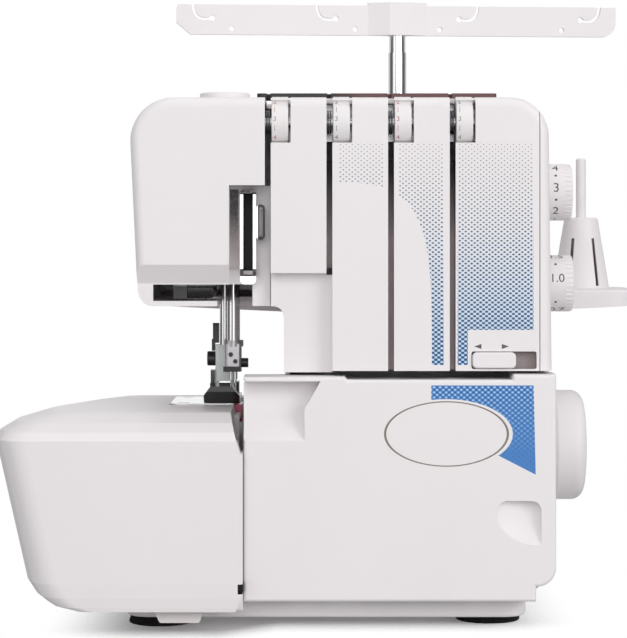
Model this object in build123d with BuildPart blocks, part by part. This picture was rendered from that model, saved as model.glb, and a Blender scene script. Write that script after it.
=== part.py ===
from build123d import *
import math
import os

# Serger (overlock sewing machine) with four threads, in millimetres.
# +X is to the user's right, -Y is towards the user, +Z is up, and the floor is Z 0.
# The origin is the middle of the overall outline, on the floor.

# Lengths along X
TABLE_LENGTH = 125.7
TABLE_SEAM = 0.3
CUT_OFFSET = 2.5
COVER_LENGTH = 156.5
STAND_OVERHANG = 63.5
HEAD_LENGTH = 58.5
HEAD_DRAFT = 5.0
PILLAR_STEP = 20.0
SIDE_DRAFT = 3.0
END_COVER_WIDTH = 7.5

# Depths along Y
TABLE_FORWARD = 10.0
BODY_DEPTH = 150.0
STAND_REACH = 90.0
PANEL_SETBACK = 6.0
PILLAR_SETBACK = 14.0
PARTING_DEPTH = 70.0
COVER_DEPTH = 25.0

# Heights along Z
FOOT_HEIGHT = 5.5
TRAY_HEIGHT = 10.5
BED_HEIGHT = 104.1
THROAT_HEIGHT = 53.9
HEAD_HEIGHT = 105.5
SHELF_DROP = 4.0
PANEL_FOOT_HEIGHT = 115.2
PILLAR_FOOT_DROP = 1.1
FIRST_PANEL_HEIGHT = 88.6

# Moulding and fits
WALL = 2.5
SEAM_GAP = 0.4
MOVING_GAP = 0.4
RUNNING_GAP = 0.05
FRONT_RADIUS = 5.0
BACK_RADIUS = 8.0

# Planes that the sizes above set
LEFT_X = -(TABLE_LENGTH + TABLE_SEAM + COVER_LENGTH + STAND_OVERHANG) / 2
TABLE_RIGHT_X = LEFT_X + TABLE_LENGTH
COVER_LEFT_X = TABLE_RIGHT_X + TABLE_SEAM
CUT_X = COVER_LEFT_X - CUT_OFFSET
RIGHT_X = COVER_LEFT_X + COVER_LENGTH
STAND_RIGHT_X = RIGHT_X + STAND_OVERHANG
HEAD_LEFT_X = COVER_LEFT_X - HEAD_LENGTH
PILLAR_X = COVER_LEFT_X + PILLAR_STEP
END_SEAM_X = RIGHT_X - END_COVER_WIDTH
FRONT_Y = -(TABLE_FORWARD + BODY_DEPTH + STAND_REACH) / 2
COVER_Y = FRONT_Y + TABLE_FORWARD
PANEL_Y = COVER_Y + PANEL_SETBACK
PILLAR_Y = COVER_Y + PILLAR_SETBACK
PARTING_Y = COVER_Y + PARTING_DEPTH
BACK_Y = COVER_Y + BODY_DEPTH
STAND_BACK_Y = BACK_Y + STAND_REACH
BASE_Z = FOOT_HEIGHT
SEAT_Z = BASE_Z + TRAY_HEIGHT
TABLE_TOP_Z = BASE_Z + BED_HEIGHT
SHELF_Z = TABLE_TOP_Z - SHELF_DROP
HEAD_BOTTOM_Z = TABLE_TOP_Z + THROAT_HEIGHT
TOP_Z = HEAD_BOTTOM_Z + HEAD_HEIGHT
PANEL_FOOT_Z = SEAT_Z + PANEL_FOOT_HEIGHT
FIRST_PANEL_Z = TOP_Z - FIRST_PANEL_HEIGHT
FAR = 400.0

# Thread slots and tension units
SLOT_COUNT = 4
SLOT_PITCH = 31.0
SLOT_WIDTH = 3.0
FIRST_SLOT_OFFSET = 12.0
CHANNEL_DEPTH = 12.0
CHANNEL_WALL = 2.0
LINER_WALL = 0.8
CHANNEL_TOP_DROP = 32.0
DIAL_WIDTH = 8.4
DIAL_RADIUS = 13.0
DIAL_PROUD = 1.0
DIAL_DROP = 12.4
WINDOW_WIDTH = 10.0
WINDOW_DROP = 1.5
WINDOW_HEIGHT = 21.5
TENSION_SHAFT_RADIUS = 2.5
DISC_RADIUS = 6.0
DISC_THICKNESS = 0.8
SLOT_XS = [COVER_LEFT_X + FIRST_SLOT_OFFSET + SLOT_PITCH * number for number in range(SLOT_COUNT)]
DIAL_AXIS_Y = PANEL_Y + DIAL_RADIUS - DIAL_PROUD
DIAL_AXIS_Z = TOP_Z - DIAL_DROP
FIRST_PANEL_X = SLOT_XS[0] + SLOT_WIDTH / 2
SECOND_PANEL_X = SLOT_XS[1] + SLOT_WIDTH / 2

# Head: bevel under the face, lamp opening and needle thread recess
BEVEL_HEIGHT = 9.6
FACE_HEIGHT = 84.4
OPENING_MARGIN = 12.3
OPENING_LIP = 2.6
RECESS_WIDTH = 19.5
RECESS_HEIGHT = 44.4
RECESS_DEPTH = 13.0
FACE_FOOT_Z = TOP_Z - FACE_HEIGHT
BEVEL_FOOT_Z = FACE_FOOT_Z - BEVEL_HEIGHT
RECESS_X = SLOT_XS[0] - RECESS_WIDTH
RECESS_TOP_Z = TOP_Z - RECESS_HEIGHT
RECESS_BACK_Y = PANEL_Y + RECESS_DEPTH

# Needle bar, presser bar and foot
NEEDLE_OFFSET = 8.0
NEEDLE_DEPTH = 88.0
NEEDLE_BAR_RADIUS = 3.5
NEEDLE_BAR_FOOT = 18.0
NEEDLE_BAR_LENGTH = 115.0
NEEDLE_SPACING = 2.4
NEEDLE_RADIUS = 0.5
NEEDLE_REACH = 9.0
PRESSER_STEP_X = 5.0
PRESSER_STEP_Y = 12.0
PRESSER_RADIUS = 2.75
NEEDLE_X = COVER_LEFT_X - NEEDLE_OFFSET
NEEDLE_Y = COVER_Y + NEEDLE_DEPTH
PRESSER_X = NEEDLE_X - PRESSER_STEP_X
PRESSER_Y = NEEDLE_Y + PRESSER_STEP_Y
PLATE_RISE = 0.7
PLATE_THICKNESS = 2.3
PLATE_Z = TABLE_TOP_Z + PLATE_RISE
LUG_HEIGHT = 8.0
LOW_LUG_RISE = 14.5
HIGH_LUG_RISE = 66.5
LOW_LUG_Z = (HEAD_BOTTOM_Z + LOW_LUG_RISE, HEAD_BOTTOM_Z + LOW_LUG_RISE + LUG_HEIGHT)
HIGH_LUG_Z = (HEAD_BOTTOM_Z + HIGH_LUG_RISE, HEAD_BOTTOM_Z + HIGH_LUG_RISE + LUG_HEIGHT)

# Frame casting
FRAME_INSET = 6.0
FRAME_THICKNESS = 6.0
FRAME_STANDOFF = 14.0
FRAME_BACK_Y = BACK_Y - FRAME_STANDOFF
FRAME_Y = FRAME_BACK_Y - FRAME_THICKNESS
BED_ARM_Z = (BASE_Z + 62.5, BASE_Z + 74.5)
BED_ARM_Y = (NEEDLE_Y + 19.0, FRAME_Y - 3.0)

# Drive
SHAFT_HEIGHT = 82.5
SHAFT_RADIUS = 5.0
BUSH_RADIUS = 8.0
PULLEY_RADIUS = 24.0
MOTOR_PULLEY_RADIUS = 8.0
PULLEY_WIDTH = 9.0
BELT_THICKNESS = 1.5
BELT_GAP = 0.3
MOTOR_RADIUS = 25.0
MOTOR_LENGTH = 66.0
MOTOR_SHAFT_RADIUS = 3.0
MOTOR_CLEARANCE = 4.0
MOTOR_END = 8.0
ROTOR_RADIUS = 14.0
ROTOR_GAP = 0.5
MOTOR_STEP_Y = 21.0
MOTOR_STEP_Z = 43.0
MOTOR_Y = FRAME_Y - MOTOR_CLEARANCE - MOTOR_RADIUS
SHAFT_Y = MOTOR_Y - MOTOR_STEP_Y
SHAFT_Z = BASE_Z + SHAFT_HEIGHT
MOTOR_Z = SHAFT_Z - MOTOR_STEP_Z
LEFT_BEARING_X = (PILLAR_X + 12.0, PILLAR_X + 18.0)
RIGHT_BEARING_X = (END_SEAM_X - 31.0, END_SEAM_X - 25.0)
PULLEY_X = (RIGHT_BEARING_X[1] + 4.0, RIGHT_BEARING_X[1] + 4.0 + PULLEY_WIDTH)

# Free arm and table
ARM_LENGTH = 62.0
ARM_FRONT_SETBACK = 45.0
ARM_BACK_SETBACK = 10.0
ARM_HEIGHT = 61.0
ARM_X = COVER_LEFT_X - 3.5 - ARM_LENGTH
ARM_RIGHT_X = COVER_LEFT_X - 3.5
ARM_Y = (COVER_Y + ARM_FRONT_SETBACK, BACK_Y - ARM_BACK_SETBACK)
TABLE_WALL = 3.0
TABLE_FOOT_GAP = 6.5
TABLE_BACK_OVERLAP = 4.0
ARM_TOP_Z = TABLE_TOP_Z - TABLE_WALL - 0.6
TABLE_FOOT_Z = BASE_Z + TABLE_FOOT_GAP
PLATE_X = (CUT_X - 38.5, CUT_X - 2.5)
PLATE_Y = (NEEDLE_Y - 15.0, ARM_Y[1] - ARM_BACK_SETBACK)
KNIFE_Y = (NEEDLE_Y - 14.5, NEEDLE_Y - 6.5)
GUARD_CAP_X = (CUT_X - 4.2, CUT_X - 0.2)

# Spool stand
POLE_FROM_RIGHT = 73.5
PIN_PITCH = 72.0
PIN_RADIUS = 2.9
PIN_ROOT_RADIUS = 3.1
PIN_STEP = 0.6
PIN_HEIGHT = 75.5
PIN_DEPTH = 50.0
STAND_TOP_HEIGHT = 163.5
STAND_THICKNESS = 12.5
STAND_END_THICKNESS = 9.0
STAND_GAP = 2.0
CONE_FOOT_RADIUS = 16.35
CONE_TOP_RADIUS = 9.6
CONE_HEIGHT = 41.0
POLE_DEPTH = 23.0
POLE_RADIUS = 5.0
POLE_BORE = 4.55
INNER_POLE_RADIUS = 4.5
POLE_HEIGHT = 135.0
BAR_LENGTH = 252.5
BAR_HEIGHT = 17.0
BAR_THICKNESS = 3.0
BAR_RISE = 9.8
STAND_TOP_Z = BASE_Z + STAND_TOP_HEIGHT
POLE_X = RIGHT_X - POLE_FROM_RIGHT
STAND_HALF = STAND_RIGHT_X - POLE_X
PIN_XS = [POLE_X + PIN_PITCH * step for step in (-1.5, -0.5, 0.5, 1.5)]
PIN_Y = BACK_Y + PIN_DEPTH
POLE_Y = BACK_Y + POLE_DEPTH
POLE_TOP_Z = STAND_TOP_Z + POLE_HEIGHT
BAR_Z = POLE_TOP_Z + BAR_RISE

# Looper cover hinge
HINGE_SETBACK = 10.0
HINGE_HEIGHT = 16.5
HINGE_ROD_RADIUS = 2.0
KNUCKLE_RADIUS = 4.5
KNUCKLE_LENGTH = 10.0
EAR_LENGTH = 8.0
HINGE_Y = COVER_Y + HINGE_SETBACK
HINGE_Z = BASE_Z + HINGE_HEIGHT
EAR_XS = (COVER_LEFT_X + 49.0, RIGHT_X - 37.5)
KNUCKLE_XS = (EAR_XS[0] - 22.0, EAR_XS[1] + 17.0)


def block(x, y, z, mode=Mode.ADD):
    """Box between two X values, two Y values and two Z values."""
    with Locations(((x[0] + x[1]) / 2, (y[0] + y[1]) / 2, (z[0] + z[1]) / 2)):
        Box(x[1] - x[0], y[1] - y[0], z[1] - z[0], mode=mode)


def rod_x(x, y, z, radius, mode=Mode.ADD):
    """Cylinder along X between two X values."""
    with Locations(Location(((x[0] + x[1]) / 2, y, z), (0, 90, 0))):
        Cylinder(radius, x[1] - x[0], mode=mode)


def rod_y(x, y, z, radius, mode=Mode.ADD):
    """Cylinder along Y between two Y values."""
    with Locations(Location((x, (y[0] + y[1]) / 2, z), (90, 0, 0))):
        Cylinder(radius, y[1] - y[0], mode=mode)


def rod_z(x, y, z, radius, mode=Mode.ADD):
    """Cylinder along Z between two Z values."""
    with Locations((x, y, (z[0] + z[1]) / 2)):
        Cylinder(radius, z[1] - z[0], mode=mode)


def save(builder, name):
    """Names a finished sub-part and writes its STEP file."""
    builder.part.label = name
    export_step(builder.part, f"parts/{name}.step")


os.makedirs("parts", exist_ok=True)


# Body form that the outer covers are split from
def body_outline(inset, y):
    """Front view of head, arm, column and base, drawn in by the inset, on the plane at y."""
    head_foot = (HEAD_LEFT_X + HEAD_DRAFT, HEAD_BOTTOM_Z)
    head_top = (HEAD_LEFT_X, TOP_Z)
    right_top = (RIGHT_X - SIDE_DRAFT, TOP_Z)
    right_foot = (RIGHT_X, SEAT_Z)
    throat = (PILLAR_X, HEAD_BOTTOM_Z)
    corners = [head_foot, head_top, right_top, right_foot, (COVER_LEFT_X, SEAT_Z)]
    corners += [(COVER_LEFT_X, SHELF_Z), (PILLAR_X, SHELF_Z), throat]
    rounds = [(head_foot, 8.0), (head_top, 22.0), (right_top, 20.0), (right_foot, 17.0), (throat, 5.5)]
    with BuildSketch(Plane.XZ.offset(-y)) as outline:
        with BuildLine():
            Polyline(*corners, close=True)
        make_face()
        for corner, radius in rounds:
            fillet(outline.vertices().sort_by_distance(corner)[0], radius)
        if inset:
            offset(amount=-inset, kind=Kind.INTERSECTION, mode=Mode.REPLACE)
    return outline.sketch


def body_form(inset):
    """Whole upper and lower body, drawn in by the inset, with the head's bevel and recesses."""
    front = PANEL_Y + inset
    back = BACK_Y - inset
    with BuildPart() as form:
        extrude(body_outline(inset, back), amount=back - front)
        fillet(form.faces().sort_by(Axis.Y)[-1].edges(), BACK_RADIUS - inset)
        fillet(form.faces().sort_by(Axis.Y)[0].edges(), FRONT_RADIUS - inset)
        with BuildSketch(Plane.YZ.offset(-FAR)):
            with BuildLine():
                Polyline(
                    (-FAR, FACE_FOOT_Z + inset),
                    (PANEL_Y, FACE_FOOT_Z + inset),
                    (PILLAR_Y + inset, BEVEL_FOOT_Z + inset),
                    (PILLAR_Y + inset, 0),
                    (-FAR, 0),
                    close=True,
                )
            make_face()
        extrude(amount=FAR + SLOT_XS[0], mode=Mode.SUBTRACT)
        block(
            (SLOT_XS[0], SECOND_PANEL_X + inset),
            (-FAR, PILLAR_Y + inset),
            (0, FIRST_PANEL_Z + inset),
            Mode.SUBTRACT,
        )
        block(
            (RECESS_X - inset, SLOT_XS[0] + SLOT_WIDTH / 2),
            (-FAR, RECESS_BACK_Y + inset),
            (0, RECESS_TOP_Z + inset),
            Mode.SUBTRACT,
        )
    return form.part


with BuildPart() as body_shell:
    add(body_form(0))
    add(body_form(WALL), mode=Mode.SUBTRACT)

# Base tray: moulded pan that the frame stands in, with the ears of the cover's hinge
TRAY_X = (CUT_X - 58.0, RIGHT_X - 13.0)
TRAY_Y = (COVER_Y + 17.0, BACK_Y - 4.0)
TRAY_RADIUS = 12.0
TRAY_FLOOR = 3.0
with BuildPart() as base_tray:
    tray_middle = ((TRAY_X[0] + TRAY_X[1]) / 2, (TRAY_Y[0] + TRAY_Y[1]) / 2)
    tray_length = TRAY_X[1] - TRAY_X[0]
    tray_width = TRAY_Y[1] - TRAY_Y[0]
    with BuildSketch(Plane.XY.offset(BASE_Z)):
        with Locations(tray_middle):
            RectangleRounded(tray_length, tray_width, TRAY_RADIUS)
    extrude(amount=TRAY_HEIGHT)
    fillet(base_tray.faces().sort_by(Axis.Z)[0].edges(), 2.0)
    with BuildSketch(Plane.XY.offset(BASE_Z + TRAY_FLOOR)):
        with Locations(tray_middle):
            RectangleRounded(tray_length - 2 * WALL, tray_width - 2 * WALL, TRAY_RADIUS - WALL)
    extrude(amount=TRAY_HEIGHT, mode=Mode.SUBTRACT)
    for ear_x in EAR_XS:
        ear = (ear_x - EAR_LENGTH / 2, ear_x + EAR_LENGTH / 2)
        block(ear, (HINGE_Y, TRAY_Y[0] + WALL), (SEAT_Z + 1.5, HINGE_Z + KNUCKLE_RADIUS))
        block(ear, (TRAY_Y[0], TRAY_Y[0] + WALL), (SEAT_Z - 1.0, SEAT_Z + 1.5))
        rod_x(ear, HINGE_Y, HINGE_Z, KNUCKLE_RADIUS)
        rod_x(ear, HINGE_Y, HINGE_Z, HINGE_ROD_RADIUS + RUNNING_GAP, Mode.SUBTRACT)
save(base_tray, "base_tray")

# Rubber feet: four soft pads pressed into the tray's underside
FOOT_RADIUS = 17.0
FOOT_TOP_RADIUS = 15.0
FOOT_PLACES = [
    (CUT_X - 41.0, COVER_Y + 39.0),
    (RIGHT_X - 31.0, COVER_Y + 48.0),
    (CUT_X - 41.0, BACK_Y - 24.0),
    (RIGHT_X - 38.0, BACK_Y - 24.0),
]
with BuildPart() as rubber_feet:
    with Locations([(x, y, BASE_Z / 2) for x, y in FOOT_PLACES]):
        Cone(FOOT_RADIUS, FOOT_TOP_RADIUS, BASE_Z)
    fillet(rubber_feet.edges().group_by(Axis.Z)[0], 1.0)
save(rubber_feet, "rubber_feet")

# Places on the machine frame that other pieces share
ROCK_STANDOFF = 7.0
ROCK_Y = FRAME_Y - ROCK_STANDOFF
ROCK_Z = HEAD_BOTTOM_Z + 41.5
ROCK_RADIUS = 4.0
LIFTER_STANDOFF = 5.0
LIFTER_Y = FRAME_Y - LIFTER_STANDOFF
LIFTER_Z = HEAD_BOTTOM_Z + 30.5
LIFTER_PIN_RADIUS = 2.0
LIFTER_EAR = 3.0
LIFTER_WINDOW_X = (PRESSER_X - 6.0, PRESSER_X + 6.0)
LIFTER_WINDOW_Z = (LIFTER_Z - 6.5, LIFTER_Z + 32.0)
LOOPER_SHAFT_X = PILLAR_X + 5.0
LOOPER_SHAFT_Z = BASE_Z + 54.5
LOOPER_SHAFT_RADIUS = 4.0
FRAME_BOSS_RADIUS = 5.0
FRAME_BOSSES = [
    (PILLAR_X + 14.0, TOP_Z - 20.0),
    (END_SEAM_X - 14.0, TOP_Z - 20.0),
    (HEAD_LEFT_X + 20.0, TOP_Z - 24.0),
    (PILLAR_X + 14.0, SEAT_Z + 18.0),
    (END_SEAM_X - 14.0, SEAT_Z + 18.0),
]

# Rear housing: back half of the shell, with screw posts, motor vents and the lifter's window
VENT_COUNT = 7
VENT_PITCH = 6.0
VENT_WIDTH = 2.6
VENT_LENGTH = 34.0
SCREW_HEAD_RADIUS = 3.4
SCREW_HEAD_DEPTH = 2.0
with BuildPart() as rear_housing:
    add(body_shell.part)
    block((END_SEAM_X - SEAM_GAP, FAR), (-FAR, FAR), (0, FAR), Mode.SUBTRACT)
    block((-FAR, FAR), (-FAR, PARTING_Y), (0, FAR), Mode.SUBTRACT)
    block(
        (COVER_LEFT_X + WALL, END_SEAM_X),
        (-FAR, BACK_Y - BACK_RADIUS),
        (SEAT_Z - 1.0, SEAT_Z + WALL),
        Mode.SUBTRACT,
    )
    block(
        (COVER_LEFT_X - 1.0, COVER_LEFT_X + WALL),
        (-FAR, ARM_Y[1] - 4.0),
        (ARM_TOP_Z - ARM_HEIGHT, SHELF_Z + 1.0),
        Mode.SUBTRACT,
    )
    block(
        (COVER_LEFT_X - 1.0, PILLAR_X - 1.0),
        (-FAR, BACK_Y - 20.0),
        (SHELF_Z - WALL, SHELF_Z + 1.0),
        Mode.SUBTRACT,
    )
    block(
        (PRESSER_X - 20.0, NEEDLE_X + 12.0),
        (-FAR, PRESSER_Y + 12.0),
        (HEAD_BOTTOM_Z - 1.0, HEAD_BOTTOM_Z + WALL),
        Mode.SUBTRACT,
    )
    block(LIFTER_WINDOW_X, (FRAME_BACK_Y, FAR), LIFTER_WINDOW_Z, Mode.SUBTRACT)
    for post_x, post_z in FRAME_BOSSES:
        rod_y(post_x, (FRAME_BACK_Y, BACK_Y - WALL), post_z, FRAME_BOSS_RADIUS)
        rod_y(post_x, (BACK_Y - SCREW_HEAD_DEPTH, BACK_Y + 1.0), post_z, SCREW_HEAD_RADIUS, Mode.SUBTRACT)
    for number in range(VENT_COUNT):
        vent_z = MOTOR_Z + VENT_PITCH * (number - (VENT_COUNT - 1) / 2)
        vent_x = (RIGHT_BEARING_X[0] - 8.0 - VENT_LENGTH, RIGHT_BEARING_X[0] - 8.0)
        vent_span = (vent_z - VENT_WIDTH / 2, vent_z + VENT_WIDTH / 2)
        block(vent_x, (BACK_Y - 2 * WALL, FAR), vent_span, Mode.SUBTRACT)
    rod_z(PRESSER_X, PRESSER_Y, (TOP_Z - 2 * WALL, TOP_Z + 1.0), 4.0, Mode.SUBTRACT)
save(rear_housing, "rear_housing")


def side_x(z):
    """Outer X of the drafted right side at a height."""
    return RIGHT_X - SIDE_DRAFT * (z - SEAT_Z) / (TOP_Z - SEAT_Z)


# Right end cover: end cap with the holes of the shaft, dials, inlet and switch
SIDE_DIAL_RADIUS = 14.8
SIDE_DIAL_DEPTH = 60.0
LENGTH_DIAL_DROP = 47.0
DIFFERENTIAL_DIAL_DROP = 94.7
SIDE_STEM_RADIUS = 4.0
SIDE_DIAL_Y = COVER_Y + SIDE_DIAL_DEPTH
LENGTH_DIAL_Z = TOP_Z - LENGTH_DIAL_DROP
DIFFERENTIAL_DIAL_Z = TOP_Z - DIFFERENTIAL_DIAL_DROP
INLET_Y = (BACK_Y - 44.0, BACK_Y - 18.0)
INLET_Z = (SEAT_Z + 14.0, SEAT_Z + 32.0)
SWITCH_Y = (BACK_Y - 76.0, BACK_Y - 52.0)
SWITCH_Z = (SEAT_Z + 16.0, SEAT_Z + 30.0)
SWITCH_PIVOT_X = side_x(SWITCH_Z[1]) - WALL / 2
SWITCH_PIVOT_Y = (SWITCH_Y[0] + SWITCH_Y[1]) / 2
SWITCH_PIN_RADIUS = 0.6
SWITCH_PIN_Z = (SWITCH_Z[0] - 1.5, SWITCH_Z[1] + 1.5)
with BuildPart() as right_end_cover:
    add(body_shell.part)
    block((-FAR, END_SEAM_X), (-FAR, FAR), (0, FAR), Mode.SUBTRACT)
    block((-FAR, FAR), (-FAR, COVER_Y + COVER_DEPTH + SEAM_GAP), (0, PANEL_FOOT_Z), Mode.SUBTRACT)
    rod_x((END_SEAM_X, FAR), SHAFT_Y, SHAFT_Z, SHAFT_RADIUS + 2.0, Mode.SUBTRACT)
    for dial_z in (LENGTH_DIAL_Z, DIFFERENTIAL_DIAL_Z):
        rod_x((END_SEAM_X, FAR), SIDE_DIAL_Y, dial_z, SIDE_STEM_RADIUS + RUNNING_GAP, Mode.SUBTRACT)
    block((END_SEAM_X, FAR), INLET_Y, INLET_Z, Mode.SUBTRACT)
    block((END_SEAM_X, FAR), SWITCH_Y, SWITCH_Z, Mode.SUBTRACT)
    rod_z(SWITCH_PIVOT_X, SWITCH_PIVOT_Y, SWITCH_PIN_Z, SWITCH_PIN_RADIUS + RUNNING_GAP, Mode.SUBTRACT)
save(right_end_cover, "right_end_cover")

# Power inlet: recessed socket with three blades, on the right side
with BuildPart() as power_inlet:
    inlet_x = side_x(INLET_Z[1])
    inlet_y = (INLET_Y[0] + 0.2, INLET_Y[1] - 0.2)
    inlet_z = (INLET_Z[0] + 0.2, INLET_Z[1] - 0.2)
    block((inlet_x - 12.0, inlet_x), inlet_y, inlet_z)
    block(
        (inlet_x - 10.0, inlet_x),
        (inlet_y[0] + 1.5, inlet_y[1] - 1.5),
        (inlet_z[0] + 1.5, inlet_z[1] - 1.5),
        Mode.SUBTRACT,
    )
    for blade in (-6.5, 0, 6.5):
        blade_y = (INLET_Y[0] + INLET_Y[1]) / 2 + blade
        blade_z = (INLET_Z[0] + INLET_Z[1]) / 2
        blade_x = (inlet_x - 10.5, inlet_x - 2.0)
        block(blade_x, (blade_y - 0.75, blade_y + 0.75), (blade_z - 2.5, blade_z + 2.5))
save(power_inlet, "power_inlet")

# Power switch: rocker that tilts on a pin along Z
with BuildPart() as power_switch:
    rocker_z = (SWITCH_Z[0] + MOVING_GAP, SWITCH_Z[1] - MOVING_GAP)
    rocker_x = side_x(SWITCH_Z[1])
    rocker_half = (SWITCH_Y[1] - SWITCH_Y[0]) / 2 - 1.4
    with BuildSketch(Plane.XY.offset(rocker_z[0])):
        with BuildLine():
            Polyline(
                (rocker_x - 4.0, SWITCH_PIVOT_Y - rocker_half),
                (rocker_x + 2.2, SWITCH_PIVOT_Y - rocker_half),
                (rocker_x - 0.4, SWITCH_PIVOT_Y),
                (rocker_x + 2.2, SWITCH_PIVOT_Y + rocker_half),
                (rocker_x - 4.0, SWITCH_PIVOT_Y + rocker_half),
                close=True,
            )
        make_face()
    extrude(amount=rocker_z[1] - rocker_z[0])
    rod_z(SWITCH_PIVOT_X, SWITCH_PIVOT_Y, SWITCH_PIN_Z, SWITCH_PIN_RADIUS)
save(power_switch, "power_switch")

# Front panel: tension panels, recessed pillar and the channels behind the thread slots
SLIDER_LENGTH = 22.0
SLIDER_TRAVEL = 10.0
SLIDER_X = END_SEAM_X - 34.6
SLIDER_SLOT_X = (SLIDER_X, SLIDER_X + SLIDER_LENGTH + SLIDER_TRAVEL + 2 * MOVING_GAP)
SLIDER_SLOT_Z = (PANEL_FOOT_Z + 0.9, PANEL_FOOT_Z + 9.8)
SLIDER_CORNER = 1.2


def slot_foot(number):
    """Lowest Z of a thread slot: the second runs beside the short first panel."""
    return FIRST_PANEL_Z + WALL if number == 1 else PANEL_FOOT_Z


with BuildPart() as front_panel:
    add(body_shell.part)
    block((-FAR, FIRST_PANEL_X), (-FAR, FAR), (0, FAR), Mode.SUBTRACT)
    block((END_SEAM_X - SEAM_GAP, FAR), (-FAR, FAR), (0, FAR), Mode.SUBTRACT)
    block((-FAR, FAR), (PARTING_Y - SEAM_GAP, FAR), (0, FAR), Mode.SUBTRACT)
    block((-FAR, FAR), (-FAR, FAR), (0, PANEL_FOOT_Z - PILLAR_FOOT_DROP), Mode.SUBTRACT)
    block((SECOND_PANEL_X, FAR), (-FAR, FAR), (0, PANEL_FOOT_Z), Mode.SUBTRACT)
    channel_back = PANEL_Y + WALL + CHANNEL_DEPTH
    for number in (1, 2, 3):
        half = SLOT_WIDTH / 2 + LINER_WALL + CHANNEL_WALL
        block(
            (SLOT_XS[number] - half, SLOT_XS[number] + half),
            (PANEL_Y + WALL / 2, channel_back + LINER_WALL + CHANNEL_WALL),
            (slot_foot(number), TOP_Z - CHANNEL_TOP_DROP),
        )
    for number in (1, 2, 3):
        half = SLOT_WIDTH / 2
        block(
            (SLOT_XS[number] - half, SLOT_XS[number] + half),
            (-FAR, channel_back),
            (slot_foot(number) - WALL - 1.0, FAR),
            Mode.SUBTRACT,
        )
        half = SLOT_WIDTH / 2 + LINER_WALL
        block(
            (SLOT_XS[number] - half, SLOT_XS[number] + half),
            (PANEL_Y + WALL, channel_back + LINER_WALL),
            (slot_foot(number), TOP_Z - CHANNEL_TOP_DROP),
            Mode.SUBTRACT,
        )
    for slot_x in SLOT_XS:
        window_x = (slot_x + SLOT_WIDTH / 2, slot_x + SLOT_WIDTH / 2 + WINDOW_WIDTH)
        window_top = TOP_Z - WINDOW_DROP
        block(window_x, (-FAR, DIAL_AXIS_Y), (window_top - WINDOW_HEIGHT, window_top), Mode.SUBTRACT)
        block(window_x, (DIAL_AXIS_Y - 9.0, DIAL_AXIS_Y + 9.0), (TOP_Z - 2 * WALL, FAR), Mode.SUBTRACT)
    with BuildSketch(Plane.XZ.offset(-PANEL_Y - 2 * WALL)):
        with Locations((sum(SLIDER_SLOT_X) / 2, sum(SLIDER_SLOT_Z) / 2)):
            slot_size = (SLIDER_SLOT_X[1] - SLIDER_SLOT_X[0], SLIDER_SLOT_Z[1] - SLIDER_SLOT_Z[0])
            RectangleRounded(*slot_size, SLIDER_CORNER)
    extrude(amount=3 * WALL, mode=Mode.SUBTRACT)
save(front_panel, "front_panel")

# Thread channels: dark liners behind the thread slots, the take-up slot and the width slider
GUARD_WIDTH = 8.0
GUARD_RAIL = 1.5
GUARD_DEPTH = 6.0
GUARD_X = (RECESS_X + 5.4, RECESS_X + 5.4 + GUARD_WIDTH)
GUARD_Z = (FACE_FOOT_Z - 5.2, RECESS_TOP_Z - 2.0)
TAKE_UP_X = (GUARD_X[0] + GUARD_RAIL, GUARD_X[1] - GUARD_RAIL)
TAKE_UP_Z = (GUARD_Z[0] + 2.0, GUARD_Z[1] - 2.0)
SLIDER_FOOT = 2.0
with BuildPart() as thread_channels:
    take_up_y = (RECESS_BACK_Y + WALL, RECESS_BACK_Y + WALL + CHANNEL_DEPTH)
    for grow, mode in ((LINER_WALL, Mode.ADD), (0, Mode.SUBTRACT)):
        block(
            (TAKE_UP_X[0] - grow, TAKE_UP_X[1] + grow),
            (take_up_y[0], take_up_y[1] + grow),
            (TAKE_UP_Z[0] - grow, TAKE_UP_Z[1] + grow),
            mode,
        )
    runner_y = PANEL_Y + WALL + 2 * MOVING_GAP + SLIDER_FOOT
    for grow, mode in ((LINER_WALL, Mode.ADD), (0, Mode.SUBTRACT)):
        block(
            (SLIDER_SLOT_X[0] - grow, SLIDER_SLOT_X[1] + grow),
            (PANEL_Y + WALL, runner_y + grow),
            (PANEL_FOOT_Z, SLIDER_SLOT_Z[1] + 4.0),
            mode,
        )
    for number in (1, 2, 3):
        half = SLOT_WIDTH / 2 + LINER_WALL
        foot = slot_foot(number)
        block(
            (SLOT_XS[number] - half, SLOT_XS[number] + half),
            (PANEL_Y + WALL, channel_back + LINER_WALL),
            (foot, TOP_Z - CHANNEL_TOP_DROP),
        )
        half = SLOT_WIDTH / 2
        block(
            (SLOT_XS[number] - half, SLOT_XS[number] + half),
            (-FAR, channel_back),
            (foot - 1.0, FAR),
            Mode.SUBTRACT,
        )
save(thread_channels, "thread_channels")

# Tension bracket: steel rail behind the dials with a post riveted into a lug for each thread
LUG_THICKNESS = 2.0
BRACKET_Y = (DIAL_AXIS_Y + DIAL_RADIUS + 4.0, DIAL_AXIS_Y + DIAL_RADIUS + 6.0)
with BuildPart() as tension_bracket:
    bracket_x = (SLOT_XS[0] + 4.0, SLOT_XS[3] + 20.0)
    block(bracket_x, BRACKET_Y, (DIAL_AXIS_Z - 9.0, TOP_Z - WALL))
    for slot_x in SLOT_XS:
        lug_x = slot_x + SLOT_WIDTH / 2 + WINDOW_WIDTH + 3.0
        lug = (lug_x, lug_x + LUG_THICKNESS)
        block(lug, (DIAL_AXIS_Y - 4.0, BRACKET_Y[1]), (DIAL_AXIS_Z - 5.0, DIAL_AXIS_Z + 5.0))
        rod_x((slot_x - 3.0, lug[1]), DIAL_AXIS_Y, DIAL_AXIS_Z, TENSION_SHAFT_RADIUS)
save(tension_bracket, "tension_bracket")

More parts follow.
